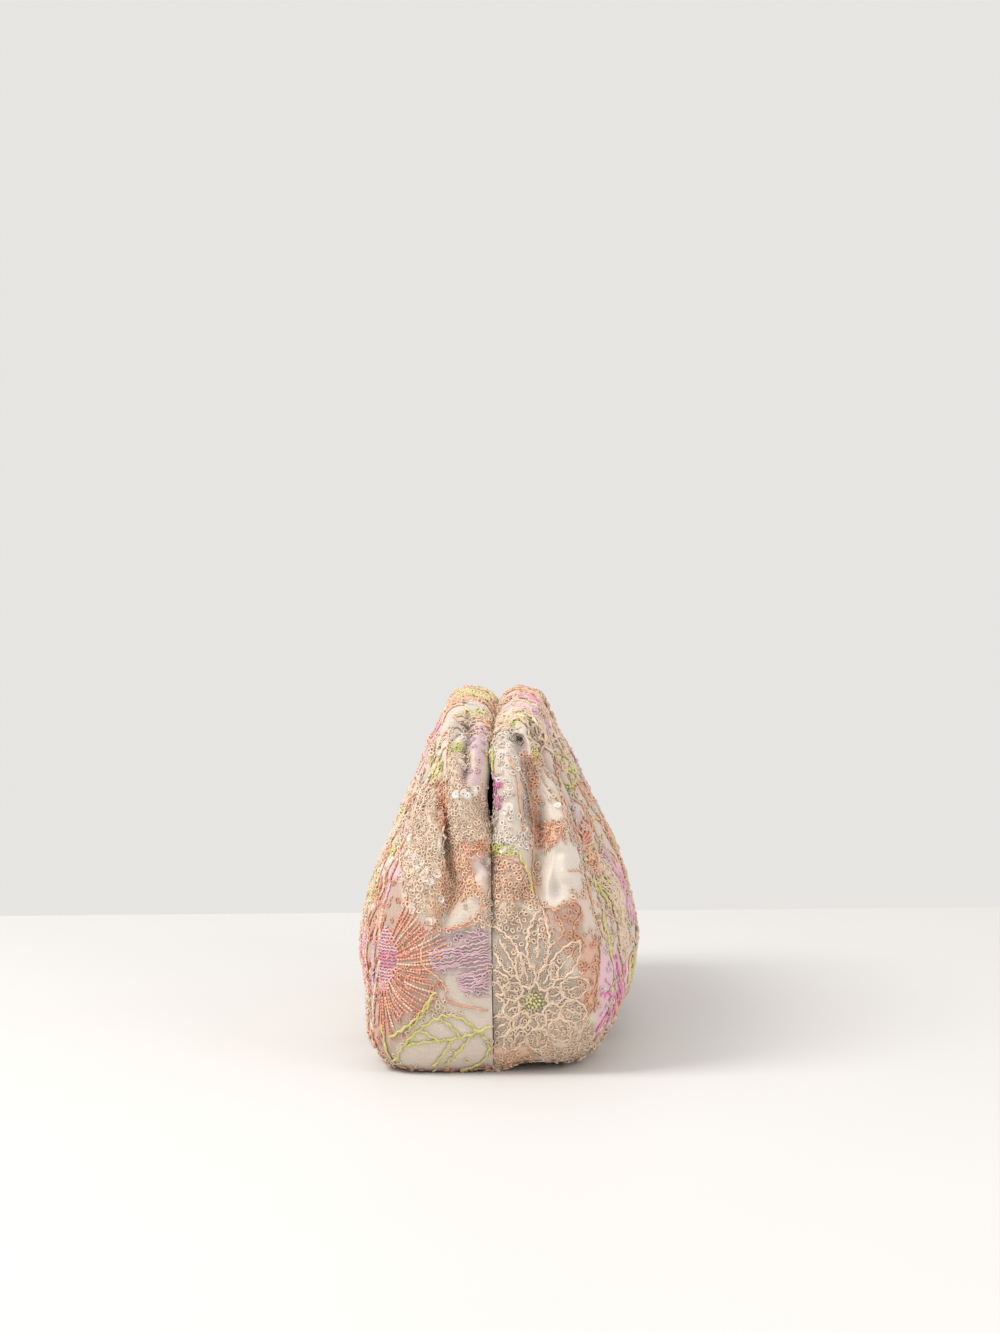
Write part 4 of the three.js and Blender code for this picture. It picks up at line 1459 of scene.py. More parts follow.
CREASES = {
    Half.FRONT: (
        Crease(6, 1.8, ((-20.5, 130), (-18, 134), (-15.5, 138.5), (-12, 140.5), (-7, 141.5), (-4, 139))),
        Crease(7, 2, ((-5, 135), (-8, 137), (-11, 135), (-14, 132.5), (-15.5, 128.5), (-16, 124))),
        Crease(2, 3, ((-18, 93), (-16.5, 81.5), (-15.5, 70.5), (-18.5, 59), (-21, 50))),
        Crease(5, 1.7, ((-7.5, 136.5), (-8.5, 130), (-9.5, 124.5), (-9.5, 119), (-10.5, 114.5), (-10,
            110.5))),
        Crease(2.4, 1.6, ((-14, 124.5), (-11, 124), (-8.5, 125))),
        Crease(2.4, 1.6, ((-22.5, 129.5), (-23, 122.5), (-25.5, 115), (-27, 108))),
        Crease(2.2, 2.4, ((-23, 117), (-26, 109), (-28.5, 100), (-31.5, 89.5))),
        Crease(2, 2.2, ((-33.5, 104.5), (-35.5, 93), (-36.5, 80.5), (-35.5, 68))),
        Crease(2.6, 2, ((-5, 106), (-3.5, 101), (-1, 96))),
        Crease(1.6, 2.2, ((-3, 83), (-8, 75.5), (-14.5, 71.5))),
        Crease(1.4, 2.4, ((-7, 56.5), (-14.5, 51.5), (-24.5, 50))),
        Crease(1.2, 3, ((-2, 22.5), (-12, 23.5), (-19.5, 30))),
        Crease(-1.6, 2.2, ((-12, 131.5), (-12.5, 127))),
        Crease(-1.2, 1.8, ((-6, 133), (-6.5, 127), (-7, 120.5))),
        Crease(-2.2, 3, ((-13.5, 120.5), (-12.5, 112.5), (-12, 104), (-11, 95.5))),
        Crease(-1.6, 2.8, ((-21, 127), (-21, 120.5), (-22.5, 112.5), (-23.5, 103.5), (-25, 92.5))),
        Crease(-1.6, 5, ((-28.5, 78), (-24.5, 68), (-22, 60))),
        Crease(2.6, 3.6, ((-14, 135.5), (-10, 138.5), (-5.5, 137))),
        Crease(2.4, 4, ((-13, 128.5), (-9.5, 131.5), (-6, 130))),
    ),
    Half.BACK: (
        Crease(6.5, 2, ((-1.5, 131.5), (1, 134), (5, 135), (8.5, 133.5), (10.5, 129.5), (12.5, 124.5))),
        Crease(7, 3, ((10, 131.5), (11.5, 127), (13, 122.5))),
        Crease(4.4, 3.2, ((12.5, 124), (14, 117), (14.5, 109), (14.5, 101), (16, 92))),
        Crease(2.2, 2.4, ((16, 88), (17.5, 78), (19, 68), (21, 57.5))),
        Crease(7, 1.9, ((13, 141), (16, 137), (17.5, 133), (19.5, 129.5), (22.5, 126.5), (23.5, 122), (25.5,
            116.5), (28.5, 111), (31, 105), (33.5, 96.5), (36, 90))),
        Crease(3, 3.2, ((17, 135), (20.5, 129), (23.5, 122.5), (26.5, 114.5), (30.5, 105.5))),
        Crease(3.6, 1.8, ((36, 90), (37, 85), (38.5, 78.5))),
        Crease(2.4, 2.2, ((38, 81.5), (39, 70.5), (40.5, 57.5))),
        Crease(2.2, 1.3, ((31, 107.5), (35, 106.5), (39, 104.5))),
        Crease(1.8, 1.2, ((30.5, 110), (34.5, 109.5), (38.5, 107.5))),
        Crease(2, 1.4, ((34, 96.5), (37.5, 99.5), (41, 100))),
        Crease(1.6, 1.1, ((18, 124.5), (21, 126), (23.5, 125))),
        Crease(1.5, 1.2, ((26, 116.5), (30.5, 115), (35, 114))),
        Crease(1.5, 2, ((16.5, 94), (21.5, 96), (28.5, 93.5))),
        Crease(1.8, 2.6, ((26, 89), (24.5, 78), (26, 64))),
        Crease(2.6, 4, ((1.5, 129), (5, 130.5), (8.5, 126.5))),
        Crease(1.8, 2.4, ((37, 93), (43.5, 83), (44.5, 68))),
        Crease(1.2, 2, ((8, 65), (13, 59), (18.5, 55))),
        Crease(-1.4, 2, ((18, 131), (19.5, 127))),
        Crease(-2.4, 2.6, ((20.5, 119), (22.5, 112.5), (23.5, 104))),
        Crease(-2, 3, ((23.5, 136.5), (28.5, 129.5), (31.5, 122.5), (35, 114.5))),
        Crease(-1.2, 4.5, ((4, 128.5), (5, 118), (6, 106.5), (7, 95.5))),
        Crease(-1.6, 4, ((28.5, 85.5), (31, 73))),
        Crease(-1.6, 4, ((47.5, 75.5), (48.5, 62.5))),
    ),
}

PATCHES = {
    Half.FRONT: (
        Patch(Colour.BLUSH, Colour.PEACH, 0.35, ((-21, 135), (-18, 143), (-11, 148), (-4, 148), (1, 142),
            (1, 138), (-7, 140), (-15, 138))),
        Patch(Colour.PALE_LILAC, Colour.CREAM, 0.1, ((-17, 140), (-13, 144), (-4, 144), (-2, 139), (-8,
            141))),
        Patch(Colour.ORANGE, Colour.ORANGE, 0.9, ((-3, 143), (2, 142), (2, 132), (-2, 132))),
        Patch(Colour.SATIN, Colour.WHITE, 0.5, ((-16, 134), (-10, 135), (-8, 125), (-16, 125))),
        Patch(Colour.LILAC, Colour.LILAC, 0.25, ((-9, 135), (-2, 134), (-2, 119), (-8, 119))),
        Patch(Colour.PALE_LILAC, Colour.CREAM, 0.12, ((-20, 134), (-16, 135), (-16, 124), (-23, 124), (-22,
            129))),
        Patch(Colour.LIME, Colour.LIME, 0.75, ((-16, 137), (-7, 139), (-7, 135), (-15, 134))),
        Patch(Colour.LIME, Colour.LIME, 0.6, ((-16, 128), (-10, 128), (-10, 124), (-16, 124))),
        Patch(Colour.LIME, Colour.LIME, 0.75, ((-24, 123), (-19, 124), (-19, 113), (-24, 113))),
        Patch(Colour.CREAM, Colour.CREAM, 1, ((-16, 124), (-7, 124), (-4, 109), (0, 96), (0, 89), (-16, 87),
            (-17, 99), (-17, 114))),
        Patch(Colour.LILAC, Colour.LILAC, 0.5, ((-11, 118), (-4, 118), (-4, 110), (-10, 111))),
        Patch(Colour.RUST, Colour.ORANGE, 0.9, ((-22, 113), (-17, 113), (-17, 90), (-21, 94))),
        Patch(Colour.CREAM, Colour.CREAM, 1, ((-31, 109), (-23, 113), (-21, 94), (-16, 88), (-15, 66), (-26,
            60), (-35, 64), (-34, 90))),
        Patch(Colour.PINK, Colour.PALE_LILAC, 0.12, ((-32, 109), (-31, 108), (-34, 90), (-35, 74), (-42,
            77), (-40, 93), (-35, 103))),
        Patch(Colour.LILAC, Colour.LILAC, 0.3, ((-43, 84), (-40, 99), (-26, 128), (-23, 130), (-25, 124),
            (-33, 108), (-40, 85))),
        Patch(Colour.PEACH, Colour.PEACH, 0.85, ((-16, 88), (-1, 89), (-1, 81), (-7, 79), (-15, 81))),
        Patch(Colour.ORANGE, Colour.ORANGE, 0.8, ((-12, 89), (-2, 90), (-1, 85), (-10, 84))),
        Patch(Colour.PALE_LILAC, Colour.CREAM, 0.1, ((-7, 84), (0, 85), (0, 76), (-6, 76))),
        Patch(Colour.PEACH, Colour.PEACH, 0.9, ((-19, 81), (-7, 79), (-4, 64), (-13, 55), (-26, 56), (-23,
            66))),
        Patch(Colour.SATIN, Colour.CREAM, 0.05, ((-12, 67), (-4, 69), (-2, 62), (-11, 57), (-20, 55), (-19,
            62))),
        Patch(Colour.RUST, Colour.CORAL, 0.3, ((-43, 75), (-35, 75), (-34, 62), (-26, 55), (-23, 42), (-17,
            34), (-26, 24), (-39, 5), (-46, 10), (-49, 55))),
        Patch(Colour.MAUVE, Colour.LILAC, 0.12, ((-26, 51), (-17, 55), (-1, 56), (-1, 29), (-11, 30), (-23,
            40))),
        Patch(Colour.SATIN, Colour.CREAM, 0, ((-18, 37), (-12, 37), (-10, 29), (-1, 29), (-1, 23), (-15,
            23))),
        Patch(Colour.SATIN, Colour.CREAM, 0.05, ((-37, 10), (-23, 22), (-1, 19), (0, 3), (-34, 0))),
        Patch(Colour.RUST, Colour.ORANGE, 0.6, ((-44, 7), (-37, 3), (-23, 1), (0, 3), (0, -1), (-42, -1))),
    ),
    Half.BACK: (
        Patch(Colour.MAGENTA, Colour.MAGENTA, 0.9, ((2, 143), (7, 147), (7, 138), (2, 134))),
        Patch(Colour.PEACH, Colour.CREAM, 0.8, ((7, 148), (16, 148), (20, 142), (12, 138), (5, 134), (6,
            141))),
        Patch(Colour.LIME, Colour.LIME, 0.6, ((7, 148), (16, 148), (18, 144), (8, 143))),
        Patch(Colour.LIME, Colour.LIME, 0.65, ((7, 141), (12, 141), (12, 134), (6, 134))),
        Patch(Colour.LILAC, Colour.LILAC, 0.45, ((16, 141), (21, 141), (28, 127), (24, 125), (18, 131))),
        Patch(Colour.SATIN, Colour.WHITE, 0.5, ((1, 132), (10, 133), (14, 105), (16, 86), (7, 85), (-1, 89),
            (0, 114))),
        Patch(Colour.LIME, Colour.LIME, 0.7, ((-2, 132), (1, 132), (1, 116), (-2, 117))),
        Patch(Colour.RUST, Colour.ORANGE, 0.7, ((11, 124), (18, 123), (20, 103), (19, 90), (16, 90), (13,
            108))),
        Patch(Colour.SATIN, Colour.CREAM, 0.1, ((12, 134), (16, 131), (22, 124), (16, 124))),
        Patch(Colour.LIME, Colour.LIME, 0.6, ((16, 126), (23, 125), (22, 122), (16, 122))),
        Patch(Colour.SATIN, Colour.CREAM, 0.08, ((18, 122), (24, 122), (27, 99), (18, 97))),
        Patch(Colour.ORANGE, Colour.ORANGE, 0.85, ((16, 97), (28, 97), (29, 90), (20, 86), (16, 89))),
        Patch(Colour.LIME, Colour.LIME, 0.7, ((26, 124), (33, 124), (36, 113), (28, 114))),
        Patch(Colour.ORANGE, Colour.ORANGE, 0.5, ((28, 122), (34, 121), (35, 116), (30, 116))),
        Patch(Colour.LILAC, Colour.PALE_LILAC, 0.22, ((27, 114), (37, 113), (43, 97), (39, 90), (34, 94))),
        Patch(Colour.LIME, Colour.LIME, 0.5, ((-1, 89), (7, 88), (11, 84), (-1, 84))),
        Patch(Colour.RUST, Colour.PEACH, 0.6, ((1, 83), (11, 81), (16, 70), (16, 64), (1, 68))),
        Patch(Colour.WHITE, Colour.CREAM, 0.02, ((19, 84), (28, 90), (34, 88), (35, 73), (25, 63), (19,
            66))),
        Patch(Colour.BLUSH, Colour.CREAM, 0.45, ((34, 90), (39, 88), (50, 84), (55, 62), (55, 46), (42, 51),
            (37, 66))),
        Patch(Colour.RUST, Colour.ORANGE, 0.55, ((18, 64), (25, 64), (32, 67), (36, 62), (36, 49), (30, 44),
            (24, 55))),
        Patch(Colour.GREIGE, Colour.CREAM, 0.4, ((0, 68), (9, 66), (24, 55), (28, 42), (36, 31), (39, 2),
            (1, 2))),
        Patch(Colour.CREAM, Colour.CREAM, 0.95, ((18, 19), (28, 26), (39, 23), (40, 2), (18, 2), (11, 7))),
        Patch(Colour.CREAM, Colour.CREAM, 0.8, ((1, 67), (7, 67), (11, 62), (2, 55))),
        Patch(Colour.ORANGE, Colour.ORANGE, 0.6, ((35, 53), (42, 51), (42, 23), (36, 22), (34, 35))),
        Patch(Colour.PEACH, Colour.PEACH, 0.7, ((1, 11), (16, 10), (16, 2), (1, 2))),
        Patch(Colour.PINK, Colour.PALE_LILAC, 0.1, ((42, 49), (55, 46), (55, 31), (50, 19), (40, 15), (42,
            29))),
    ),
}

LINES = {
    Half.FRONT: (
        Line(Colour.ORANGE, ((-16, 84), (-11, 80), (-11, 75), (-13, 67), (-16, 62))),
        Line(Colour.ORANGE, ((-4, 84), (-8, 80), (-7, 73), (-4, 67), (-6, 60), (-15, 56), (-23, 56))),
        Line(Colour.PEACH, ((-23, 56), (-26, 51), (-27, 46), (-26, 41), (-20, 36), (-17, 31))),
        Line(Colour.ORANGE, ((-17, 31), (-17, 28), (-12, 26), (-6, 25), (-2, 24))),
        Line(Colour.ORANGE, ((-2, 64), (-5, 58), (-13, 56), (-18, 55))),
        Line(Colour.LIME, ((-42, 18), (-40, 8), (-37, 5), (-34, 10), (-27, 17), (-19, 22)), size=1.35),
        Line(Colour.LIME, ((-19, 22), (-12, 21), (-4, 15), (-1, 10), (-4, 4), (-15, 0)), size=1.35),
        Line(Colour.LIME, ((0, 18), (-7, 15), (-15, 13), (-23, 12), (-31, 11)), size=1.35),
        Line(Colour.LIME, ((-7, 15), (-11, 10), (-18, 3)), size=1.35),
        Line(Colour.LIME, ((-12, 14), (-17, 19), (-22, 21)), size=1.35),
        Line(Colour.LIME, ((-15, 13), (-18, 8), (-22, 3)), size=1.35),
        Line(Colour.LIME, ((-20, 12), (-25, 15), (-27, 16)), size=1.35),
        Line(Colour.LIME, ((-22, 31), (-26, 25), (-31, 19), (-38, 14)), size=1.35),
        Line(Colour.LIME, ((-23, 29), (-27, 22), (-32, 16)), size=1.35),
        Line(Colour.MAGENTA, ((-23, 129), (-25, 125), (-28, 117), (-32, 110), (-33, 107)), size=1.15),
        Line(Colour.MAGENTA, ((-32, 108), (-35, 100), (-38, 94), (-40, 87), (-41, 81)), size=1.15),
        Line(Colour.MAGENTA, ((-26, 127), (-29, 120), (-31, 114)), Stitch.BEAD, 1.15),
        Line(Colour.CREAM, ((-32, 108), (-34, 94), (-35, 84), (-34, 73))),
        Line(Colour.RUST, ((-42, 3), (-34, 0), (-23, 0), (-11, 1), (0, 2))),
        Line(Colour.ORANGE, ((-22, 135), (-17, 141), (-12, 147), (-5, 148), (-1, 144))),
        Line(Colour.PEACH, ((-16, 134), (-17, 124), (-17, 113), (-17, 103), (-17, 94), (-16, 88))),
    ),
    Half.BACK: (
        Line(Colour.LIME, ((1, 131), (1, 125), (1, 117)), size=1.35),
        Line(Colour.MAGENTA, ((2, 116), (2, 111), (2, 106), (3, 102)), Stitch.RING, 1.15),
        Line(Colour.ORANGE, ((7, 122), (10, 113), (11, 103), (13, 92), (16, 86), (16, 77), (18, 67), (19,
            62))),
        Line(Colour.PEACH, ((11, 117), (14, 109), (16, 99), (16, 89))),
        Line(Colour.ORANGE, ((2, 84), (9, 82), (14, 77), (18, 68))),
        Line(Colour.LIME, ((11, 84), (14, 77), (16, 69)), size=1.35),
        Line(Colour.ORANGE, ((24, 122), (27, 111), (28, 101), (32, 92), (36, 84), (37, 73), (40, 62), (43,
            53))),
        Line(Colour.PEACH, ((18, 96), (24, 94), (28, 96), (25, 90), (20, 85))),
        Line(Colour.ORANGE, ((19, 66), (25, 63), (32, 66), (35, 62), (32, 56), (36, 50), (32, 46), (35, 40),
            (40, 42), (41, 35), (37, 27))),
        Line(Colour.ORANGE, ((25, 63), (28, 55), (26, 50), (31, 46))),
        Line(Colour.RUST, ((40, 53), (42, 46), (41, 35), (40, 24))),
        Line(Colour.PEACH, ((1, 65), (6, 67), (9, 64), (12, 56))),
        Line(Colour.ORANGE, ((30, 78), (34, 78), (36, 77))),
        Line(Colour.LIME, ((40, 74), (45, 77), (49, 81)), size=1.35),
        Line(Colour.LIME, ((40, 73), (46, 74), (51, 75)), size=1.35),
        Line(Colour.LIME, ((40, 73), (46, 68), (50, 62)), size=1.35),
        Line(Colour.LIME, ((40, 73), (44, 67), (46, 63)), size=1.35),
        Line(Colour.LIME, ((38, 74), (43, 74), (50, 73)), size=1.35),
        Line(Colour.LIME, ((37, 81), (38, 88), (43, 93), (44, 94)), size=1.35),
        Line(Colour.LIME, ((38, 82), (41, 87), (44, 90)), size=1.35),
        Line(Colour.LIME, ((36, 82), (40, 90), (42, 94)), size=1.35),
        Line(Colour.LILAC, ((31, 109), (35, 108), (39, 106))),
        Line(Colour.LILAC, ((31, 105), (36, 104), (40, 103))),
        Line(Colour.PEACH, ((43, 62), (49, 58), (55, 50), (55, 44))),
        Line(Colour.MAGENTA, ((50, 30), (49, 39), (48, 46)), size=1.15),
        Line(Colour.MAGENTA, ((50, 30), (51, 39), (52, 46)), size=1.15),
        Line(Colour.PINK, ((50, 31), (52, 38), (54, 44))),
        Line(Colour.PINK, ((50, 31), (48, 39), (46, 46))),
        Line(Colour.MAGENTA, ((50, 30), (45, 23), (40, 15)), size=1.15),
        Line(Colour.MAGENTA, ((50, 30), (47, 24), (45, 20)), size=1.15),
        Line(Colour.MAGENTA, ((49, 31), (46, 31), (42, 30)), size=1.15),
        Line(Colour.PINK, ((49, 31), (46, 34), (44, 36))),
        Line(Colour.RUST, ((2, 3), (9, 2), (16, 3))),
        Line(Colour.CREAM, ((16, 3), (23, 4), (28, 5), (35, 3), (38, 7))),
    ),
}

SPOTS = {
    Half.FRONT: (
        Spot((-24, 134), 12, 3, Colour.LIME, Stitch.RING),
        Spot((-7, 109), 5, 5),
        Spot((-12, 119), 2, 1.5),
        Spot((-35, 90), 9, 9),
        Spot((-26, 79), 5, 7),
        Spot((-22, 74), 5, 7),
        Spot((-30, 63), 2, 1.5),
        Spot((-2, 82), 4, 2.5),
        Spot((-24, 58), 2, 2),
    ),
    Half.BACK: (
        Spot((50, 31), 26, 4.5, Colour.MAGENTA, Stitch.BEAD),
        Spot((3, 112), 6, 1.6, Colour.MAGENTA, Stitch.RING),
        Spot((3, 105), 8, 2, Colour.MAGENTA, Stitch.RING),
        Spot((5, 86), 2, 1.2),
        Spot((6, 102), 3, 2),
        Spot((2, 97), 1, 0.5),
        Spot((26, 120), 2, 1.2),
        Spot((26, 103), 1, 0.5),
        Spot((16, 141), 2, 1.5),
        Spot((32, 108), 2, 1.5),
    ),
}

PLACED = {
    Half.FRONT: (
        Placed(BeadFlower(start=-1.75, sweep=3.0, inner=8.5, reach=29.0, middle=(7.5, 13.0)), (-41.5, 43.0)),
        Placed(Strands(((-24.5, 46.0), (-22.0, 39.5)), ((-1.0, 50.5), (-1.0, 42.0))), laid=False),
        Placed(Strands(((-13.0, 37.0), (-11.5, 31.5)), ((-1.0, 40.6), (-1.0, 29.5)), 9), laid=False),
        Placed(Strands(((-9.4, 54.3), (-7.6, 50.6)), ((-1.0, 53.6), (-1.0, 51.6)), 3), laid=False),
    ),
    Half.BACK: (
        Placed(Daisy(), (16.3, 27.9)),
    ),
}


@dataclass
class Border:
    """Motifs over the rest of one panel, beyond what the near view lays out."""

    pitch: float = 33.0
    first_share: float = 0.19
    last_share: float = 0.99
    lanes: tuple[float, ...] = (4.0, 34.0, 64.0, 94.0, 124.0)
    seed: int = 5

    def motif(self, kind: int, rng: np.random.Generator) -> Motif:
        """One motif of a kind, with its own size."""
        grow = rng.uniform(0.82, 1.18)
        if kind == 0:
            sweep = rng.uniform(2.6, 5.4)
            return BeadFlower(sweep=sweep, reach=22 * grow, inner=4.5)
        if kind == 1:
            return Daisy(reach=17 * grow, reach_up=26 * grow)
        if kind == 2:
            petals = int(rng.integers(3, 6))
            return StrandFlower(sweep=petals * 1.05, petals=petals, reach=18 * grow)
        if kind == 3:
            return Star(reach=16 * grow)
        if kind == 4:
            return Leaf(length=30 * grow, width=15 * grow)
        if kind == 5:
            return Petals(length=24 * grow)
        return Sprig(reach=13 * grow)

    def sew(self, hand: Stitchery, paint: Ground) -> int:
        """Sews all of them in lanes along the panel.

        Returns:
            How many motifs were sewn.
        """
        cloth = hand.cloth
        rng = np.random.default_rng(self.seed + cloth.half.value)
        top = cloth.points[:, :, 2].argmax(axis=1)
        below = cloth.down - cloth.down[np.arange(cloth.columns), top][:, None]
        order = (0, 4, 5, 1, 6, 2, 5, 3, 4)
        sewn = 0
        for lane, level in enumerate(self.lanes):
            belt = np.abs(below - level).argmin(axis=1)
            i_mid = cloth.columns // 2
            along = cloth.along[:, belt[i_mid]]
            first = np.interp(self.first_share, cloth.shares, along)
            last = np.interp(self.last_share, cloth.shares, along)
            stops = np.arange(first + (lane % 2) * self.pitch / 2, last, self.pitch)
            for k, stop in enumerate(stops):
                i = int(np.clip(np.interp(stop + rng.normal(0, 6), along, np.arange(cloth.columns)),
                                2, cloth.columns - 3))
                j = int(np.clip(belt[i] + rng.normal(0, 4), 4, cloth.rows - 8))
                kind = order[(k * 2 + lane * 3 + (cloth.half is Half.BACK)) % len(order)]
                if lane == 0 and kind == 0:
                    kind = 5
                chart = LaidChart(cloth, (i, j), rng.uniform(0, 2 * math.pi))
                self.motif(kind, rng).sew(hand, chart, paint)
                for _ in range(2):
                    shift = rng.integers(-12, 12, 2)
                    near = (int(np.clip(i + shift[0], 2, cloth.columns - 3)),
                            int(np.clip(j + shift[1], 4, cloth.rows - 8)))
                    colour = (Colour.ORANGE, Colour.PEACH, Colour.CREAM, Colour.PEACH)[rng.integers(4)]
                    scroll = Scroll.wander(rng, rng.uniform(25, 48), colour)
                    scroll.sew(hand, LaidChart(cloth, near), None)
                spots = rng.normal(0, 4, (rng.integers(1, 6), 2)) + rng.normal(0, 14, (1, 2))
                hand.scatter(chart, spots, Stitch.SEQUIN, Colour.PEARL)
                sewn += 1
        return sewn


class Socket:
    """One output of a node, with the operators that the finishes use."""

    def __init__(self, tree: ShaderTree, socket: bpy.types.NodeSocket) -> None:
        """Wraps a socket."""
        self.tree = tree
        self.socket = socket

    def _math(self, operation: str, a: Socket | float, b: Socket | float) -> Socket:
        """A Math node on two values."""
        node = self.tree.node("ShaderNodeMath", {0: a, 1: b}, operation=operation)
        return Socket(self.tree, node.outputs[0])

    def __add__(self, other: Socket | float) -> Socket:
        """Sum."""
        return self._math("ADD", self, other)

    def __radd__(self, other: float) -> Socket:
        """Sum."""
        return self._math("ADD", other, self)

    def __sub__(self, other: Socket | float) -> Socket:
        """Difference."""
        return self._math("SUBTRACT", self, other)

    def __rsub__(self, other: float) -> Socket:
        """Difference."""
        return self._math("SUBTRACT", other, self)

    def __mul__(self, other: Socket | float) -> Socket:
        """Product."""
        return self._math("MULTIPLY", self, other)

    def __rmul__(self, other: float) -> Socket:
        """Product."""
        return self._math("MULTIPLY", other, self)


class ShaderTree:
    """Builds one node material."""

    def __init__(self, name: str) -> None:
        """Starts a material with a single Principled shader."""
        self.material = bpy.data.materials.new(name)
        self.material.use_nodes = True
        self.tree = self.material.node_tree
        self.shader = self.tree.nodes["Principled BSDF"]

    def node(self, kind: str, inputs: dict[str | int, object] | None = None,
             **settings: object) -> bpy.types.Node:
        """Adds a node.

        Args:
            kind: Blender's name of the node's type.
            inputs: Value, or link, of each socket by name or number.
            settings: Properties of the node; stops sets the colours of a ramp.

        Returns:
            The new node.
        """
        node = self.tree.nodes.new(kind)
        for key, value in settings.items():
            if key == "stops":
                self._stops(node.color_ramp, value)
            else:
                setattr(node, key, value)
        for key, value in (inputs or {}).items():
            self.feed(node.inputs[key], value)
        return node

    @staticmethod
    def _stops(ramp: bpy.types.ColorRamp, stops: list[tuple[float, np.ndarray]]) -> None:
        """Sets the stops of a ramp."""
        while len(ramp.elements) < len(stops):
            ramp.elements.new(0.5)
        for element, (place, colour) in zip(ramp.elements, stops):
            element.position = place
            element.color = (*colour, 1)

    def feed(self, socket: bpy.types.NodeSocket, value: object) -> None:
        """Links or sets one socket."""
        if isinstance(value, Socket):
            self.tree.links.new(value.socket, socket)
        else:
            socket.default_value = value

    def set(self, **values: object) -> None:
        """Sets or links inputs of the shader, named with underscores for spaces."""
        for key, value in values.items():
            self.feed(self.shader.inputs[key.replace("_", " ")], value)

    def out(self, node: bpy.types.Node, name: str | int = 0) -> Socket:
        """One output of a node."""
        return Socket(self, node.outputs[name])

    def place(self) -> Socket:
        """Place on the object in metres."""
        return self.out(self.node("ShaderNodeTexCoord"), "Object")

    def tint(self) -> Socket:
        """Colour stored at the mesh's points."""
        return self.out(self.node("ShaderNodeAttribute", attribute_name="tint"), "Color")

    def noise(self, scale: float, detail: float = 2.0, rough: float = 0.5) -> Socket:
        """Noise on the object, from 0 to 1."""
        node = self.node(
            "ShaderNodeTexNoise",
            {"Vector": self.place(), "Scale": scale, "Detail": detail, "Roughness": rough},
        )
        return self.out(node, "Fac")

    def mix(self, share: Socket | float, a: object, b: object, blend: str = "MIX") -> Socket:
        """Mix of two colours."""
        node = self.node("ShaderNodeMix", {0: share, 6: a, 7: b}, data_type="RGBA", blend_type=blend)
        return Socket(self, node.outputs[2])

    def bump(self, height: Socket, distance: float, strength: float) -> Socket:
        """Bump from a height."""
        node = self.node("ShaderNodeBump", {"Height": height, "Distance": distance, "Strength": strength})
        return self.out(node, "Normal")


@dataclass(frozen=True)
class Satin:
    """Matt satin under fine net, in the colours painted on it."""

    net_per_metre: float = 700.0
    thread_per_metre: float = 2600.0
    roughness: float = 0.5

    def material(self) -> bpy.types.Material:
        """Makes the material."""
        tree = ShaderTree("embroidered_cloth")
        net = tree.node(
            "ShaderNodeTexVoronoi",
            {"Vector": tree.place(), "Scale": self.net_per_metre, "Randomness": 0.35},
            feature="DISTANCE_TO_EDGE",
        )
        cords = tree.out(tree.node(
            "ShaderNodeMapRange",
            {"Value": tree.out(net, "Distance"), "From Min": 0.0, "From Max": 0.12, "To Min": 1.0,
             "To Max": 0.0},
        ))
        slub = tree.noise(self.thread_per_metre, 3, 0.6)
        mottle = tree.noise(60, 3, 0.6)
        shade = tree.mix(mottle * 0.35, tree.tint(), (0.62, 0.52, 0.46, 1), "MULTIPLY")
        colour = tree.mix(cords * 0.25, shade, (0.90, 0.82, 0.74, 1))
        tree.set(
            Base_Color=colour,
            Roughness=self.roughness + (mottle - 0.5) * 0.3,
            Normal=tree.bump(cords * 0.6 + slub * 0.5, 0.0003, 0.55),
            Sheen_Weight=0.25,
            Sheen_Roughness=0.4,
            Specular_IOR_Level=0.45,
        )
        return tree.material


@dataclass(frozen=True)
class Thread:
    """Twisted embroidery thread."""

    twist_per_metre: float = 1900.0
    roughness: float = 0.55

    def material(self) -> bpy.types.Material:
        """Makes the material."""
        tree = ShaderTree("embroidery_thread")
        twist = tree.noise(self.twist_per_metre, 2, 0.5)
        worn = tree.noise(140, 2, 0.5)
        colour = tree.mix(worn * 0.35, tree.tint(), (0.95, 0.88, 0.80, 1))
        tree.set(
            Base_Color=tree.mix(twist * 0.25, colour, (0.55, 0.45, 0.38, 1), "MULTIPLY"),
            Roughness=self.roughness + (twist - 0.5) * 0.3,
            Normal=tree.bump(twist, 0.0002, 0.5),
            Sheen_Weight=0.2,
        )
        return tree.material


@dataclass(frozen=True)
class GlassBead:
    """Small glossy glass beads."""

    roughness: float = 0.22

    def material(self) -> bpy.types.Material:
        """Makes the material."""
        tree = ShaderTree("glass_bead")
        cloud = tree.noise(900, 2, 0.5)
        tree.set(
            Base_Color=tree.mix(cloud * 0.3, tree.tint(), (0.96, 0.92, 0.86, 1)),
            Roughness=self.roughness + cloud * 0.15,
            Normal=tree.bump(cloud, 0.0001, 0.3),
            Coat_Weight=0.5,
            Coat_Roughness=0.12,
        )
        return tree.material


